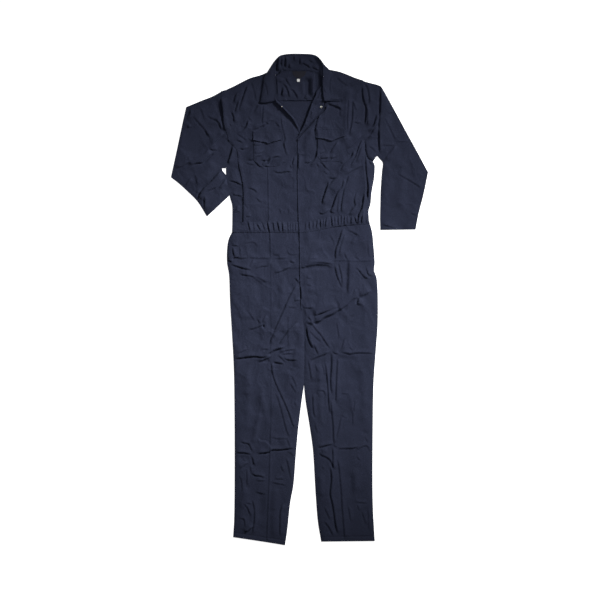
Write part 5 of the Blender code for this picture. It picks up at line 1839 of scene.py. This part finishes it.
@dataclass
class Trim:
    """The small parts: the tab at the hip, the neck patch and the tag, and the press studs."""

    tab: str = "-255,199 | -258,150 | -215,150 | -217,194 | -255,199"
    patch_at: tuple[float, float] = (-1.0, 822.0)
    patch_radius: float = 24.5
    tag_at: tuple[float, float] = (-4.0, 789.0)
    tag_size: tuple[float, float] = (10.1, 10.1)
    cap_at: tuple[float, float] = (78.5, 693.5)
    cap_radius: float = 4.7
    socket_at: tuple[float, float] = (-63.0, 694.5)
    socket_radius: float = 2.6

    def build(
        self, bodice: Bodice, trousers: Trousers, collar: Collar, finishes: Finishes, stitching: Stitching
    ) -> None:
        """Makes them all."""
        tab = drawn(self.tab)

        def tab_top(xy: Points) -> Heights:
            return trousers.left_top(xy) + WALL + 0.25 + 0.8 * (1 - np.exp(-away_from(xy, tab) / 8.0))

        def patch_top(xy: Points) -> Heights:
            return bodice.back_top(xy) + WALL + 0.15

        rests_on = ("trouser_front_left_cloth",)
        Cloth("hip_tab_left", joined(tab), tab_top, rests_on, FINE).build(finishes.twill)
        stitching.row(beside(tab, 4.0)[3:-3], tab_top)
        turns = np.linspace(math.pi, 2 * math.pi, 34)
        half = np.array(self.patch_at) + self.patch_radius * np.column_stack([np.cos(turns), np.sin(turns)])
        flat_edge = evenly(half[[-1, 0]], 2.2)
        moon = Cloth("neck_patch", joined(half, flat_edge[1:]), patch_top, ("back_yoke_cloth",), 2.2)
        moon.build(finishes.patch)
        (x, y), (wide, high) = self.tag_at, self.tag_size
        left, right, foot, top = x - wide / 2, x + wide / 2, y - high / 2, y + high / 2
        box = drawn(f"{left},{top} | {left},{foot} | {right},{foot} | {right},{top} | {left},{top}", 1.8)
        Cloth("neck_tag", joined(box), patch_top, ("back_yoke_cloth",), 1.8, slot="white_tape").build(finishes.tape)
        self.stud("press_stud_lapel", self.cap_at, self.cap_radius, collar.lapel_top, finishes.nickel)
        self.stud("press_stud_edge", self.socket_at, self.socket_radius, collar.strip_top, finishes.nickel)

    def stud(self, node: str, at: tuple[float, float], radius: float, on: Surface, nickel: bpy.types.Material) -> None:
        """Makes a press stud's cap: a rolled ring round a hollow with a low button in it.

        Args:
            node: The solid that it stands for.
            at: Its middle.
            radius: Its radius.
            on: The cloth's upper side.
            nickel: Its finish.
        """
        centre = np.array([at])
        around = centre + radius * np.array([[1, 0], [-1, 0], [0, 1], [0, -1]])
        base = float(on(np.vstack([centre, around])).max()) + 0.05
        profile = path(
            "0,0 0.97,0 1,0.1 1,0.26 0.96,0.38 0.88,0.43 0.8,0.4 0.74,0.3 0.66,0.2 0.52,0.18"
            " 0.46,0.24 0.4,0.34 0.3,0.4 0.16,0.44 0,0.45"
        )
        sides = 48
        turns = np.arange(sides) * 2 * math.pi / sides
        rings = [
            np.column_stack([
                at[0] + r * radius * np.cos(turns), at[1] + r * radius * np.sin(turns),
                np.full(sides, base + h * 1.05 * radius),
            ])
            for r, h in profile[1:-1]
        ]
        points = np.vstack([[*at, base], *rings, [*at, base + profile[-1, 1] * 1.05 * radius]])
        faces = [[0, 1 + (k + 1) % sides, 1 + k] for k in range(sides)]
        for ring in range(len(rings) - 1):
            low, high = 1 + ring * sides, 1 + (ring + 1) * sides
            faces += [[low + k, low + (k + 1) % sides, high + (k + 1) % sides, high + k] for k in range(sides)]
        last = 1 + (len(rings) - 1) * sides
        faces += [[last + k, last + (k + 1) % sides, len(points) - 1] for k in range(sides)]
        made = new_object(f"{node}_cap", points, faces, nickel)
        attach(made, RIDE)
        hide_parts(node)
        LOG.info("%s: %.1f mm across", made.name, 2 * radius)


@dataclass
class Studio:
    """A pale floor, soft studio light, and a camera that looks straight down."""

    eye: tuple[float, float, float] = (0.0018, -0.0018, 3.0)
    across: float = 2.16
    floor_size: float = 9.0
    floor_colour: str = "#f4f4f4"
    floor_glow: float = 1.0
    key_at: tuple[float, float, float] = (1.897, 2.064, 1.773)
    key_aim: tuple[float, float, float] = (-0.628, -0.466, 0.0)
    key_size: float = 0.45
    key_spread: float = 36.6
    key_power: float = 10.15
    fills: tuple[tuple[float, float, float, float], ...] = ((0.6, -0.311, 0.512, 2.49), (-0.252, 0.7, 0.5, 0.645))
    fill_size: float = 0.7
    world: float = 0.0186

    def build(self) -> None:
        """Makes the floor, the lights and the camera."""
        self.floor()
        key = self.lamp("key_softbox", self.key_at, self.key_aim, self.key_size, self.key_power)
        key.spread = math.radians(self.key_spread)
        for *at, power in self.fills:
            self.lamp("fill_softbox", at, (at[0], at[1], 0.0), self.fill_size, power)
        world = bpy.data.worlds.new("studio_air")
        world.use_nodes = True
        world.node_tree.nodes.clear()
        air = add_node(world.node_tree, "ShaderNodeBackground", {"Color": linear("#ffffff"), "Strength": self.world})
        add_node(world.node_tree, "ShaderNodeOutputWorld", {"Surface": air.outputs["Background"]})
        bpy.context.scene.world = world
        eye = bpy.data.cameras.new("overhead_camera")
        eye.type = "ORTHO"
        eye.ortho_scale = self.across
        camera = bpy.data.objects.new("overhead_camera", eye)
        camera.location = self.eye
        bpy.context.scene.collection.objects.link(camera)
        bpy.context.scene.camera = camera
        bpy.context.scene.view_settings.view_transform = "Standard"
        bpy.context.scene.view_settings.look = "None"

    def floor(self) -> None:
        """Makes the floor: painted board, matt white, a little lit from below like a lightbox."""
        material = bpy.data.materials.new("matt_white_board")
        material.use_nodes = True
        shader = material.node_tree.nodes["Principled BSDF"]
        shader.inputs["Base Color"].default_value = linear(self.floor_colour)
        shader.inputs["Roughness"].default_value = 0.9
        shader.inputs["Specular IOR Level"].default_value = 0.1
        shader.inputs["Emission Color"].default_value = linear("#ffffff")
        shader.inputs["Emission Strength"].default_value = self.floor_glow
        half = self.floor_size / 2 / MM
        corners = np.array([[-half, -half, 0.0], [half, -half, 0.0], [half, half, 0.0], [-half, half, 0.0]])
        new_object("floor", corners, [[0, 1, 2, 3]], material)

    def lamp(
        self, name: str, at: Sequence[float], aim: Sequence[float], size: float, power: float
    ) -> bpy.types.Light:
        """Makes a square soft lamp that is aimed at a point."""
        light = bpy.data.lights.new(name, "AREA")
        light.shape = "SQUARE"
        light.size = size
        light.energy = power
        lamp = bpy.data.objects.new(name, light)
        lamp.location = at
        lamp.rotation_euler = (Vector(aim) - Vector(at)).to_track_quat("-Z", "Y").to_euler()
        bpy.context.scene.collection.objects.link(lamp)
        return light


def sew_seams(bodice: Bodice, trousers: Trousers, waist: Waist, band: Surface, stitching: Stitching) -> None:
    """Sews the long rows of stitches of the fronts, the band and the legs."""
    for off in (2.0, 8.0):
        for seam, side in zip(bodice.seams, (1.0, -1.0)):
            stitching.row(beside(seam, side * off)[2:-4], bodice.front_top)
        for hole, side in zip(bodice.armholes, (1.0, -1.0)):
            stitching.row(beside(hole, side * off - side * 4)[3:-3], bodice.front_top)
    stitching.row((bodice.front_centre + (6.0, 0.0))[3:-3], bodice.right_top)
    fly = drawn(trousers.fly)
    stitching.row((fly + (6.0, 0.0))[2:], trousers.right_top)
    for hem in trousers.hems:
        stitching.row((hem + (0.0, trousers.hem_deep))[2:-2], trousers.left_top)
    for off in (2.0, 5.5):
        stitching.row((drawn(trousers.outseam_left) + (off, 0.0))[4:-8], trousers.left_top)
    for line, off in ((waist.line_top_left(), -3.5), (waist.line_top_right(), -3.5)):
        stitching.row((line + (0.0, off))[1:-1], band)
    for line, off in ((waist.line_foot_left(), 3.5), (waist.line_foot_right(), 3.5)):
        stitching.row((line + (0.0, off))[1:-1], band)


def main() -> None:
    """Builds the suit and the studio."""
    logging.basicConfig(level=logging.INFO, format="%(name)s: %(message)s")
    finishes = Finishes()
    stitching = Stitching()
    bodice = Bodice(sleeves=(SLEEVE_LEFT, SLEEVE_RIGHT))
    trousers = Trousers()
    collar = Collar()
    bodice.build(finishes.twill)
    trousers.build(bodice.waist, finishes.twill)
    band = bodice.waist.build(bodice, trousers, finishes.twill)
    for sleeve in (SLEEVE_LEFT, SLEEVE_RIGHT):
        sleeve.build(bodice, finishes.twill, stitching)
    collar.build(bodice, finishes.twill, stitching)
    POCKET_LEFT.build(bodice.front_top, finishes.twill, stitching)
    POCKET_RIGHT.build(bodice.right_top, finishes.twill, stitching)
    Trim().build(bodice, trousers, collar, finishes, stitching)
    sew_seams(bodice, trousers, bodice.waist, band, stitching)
    stitching.build("lock_stitches", finishes.thread, "navy_twill")
    Studio().build()


if __name__ == "__main__":
    main()
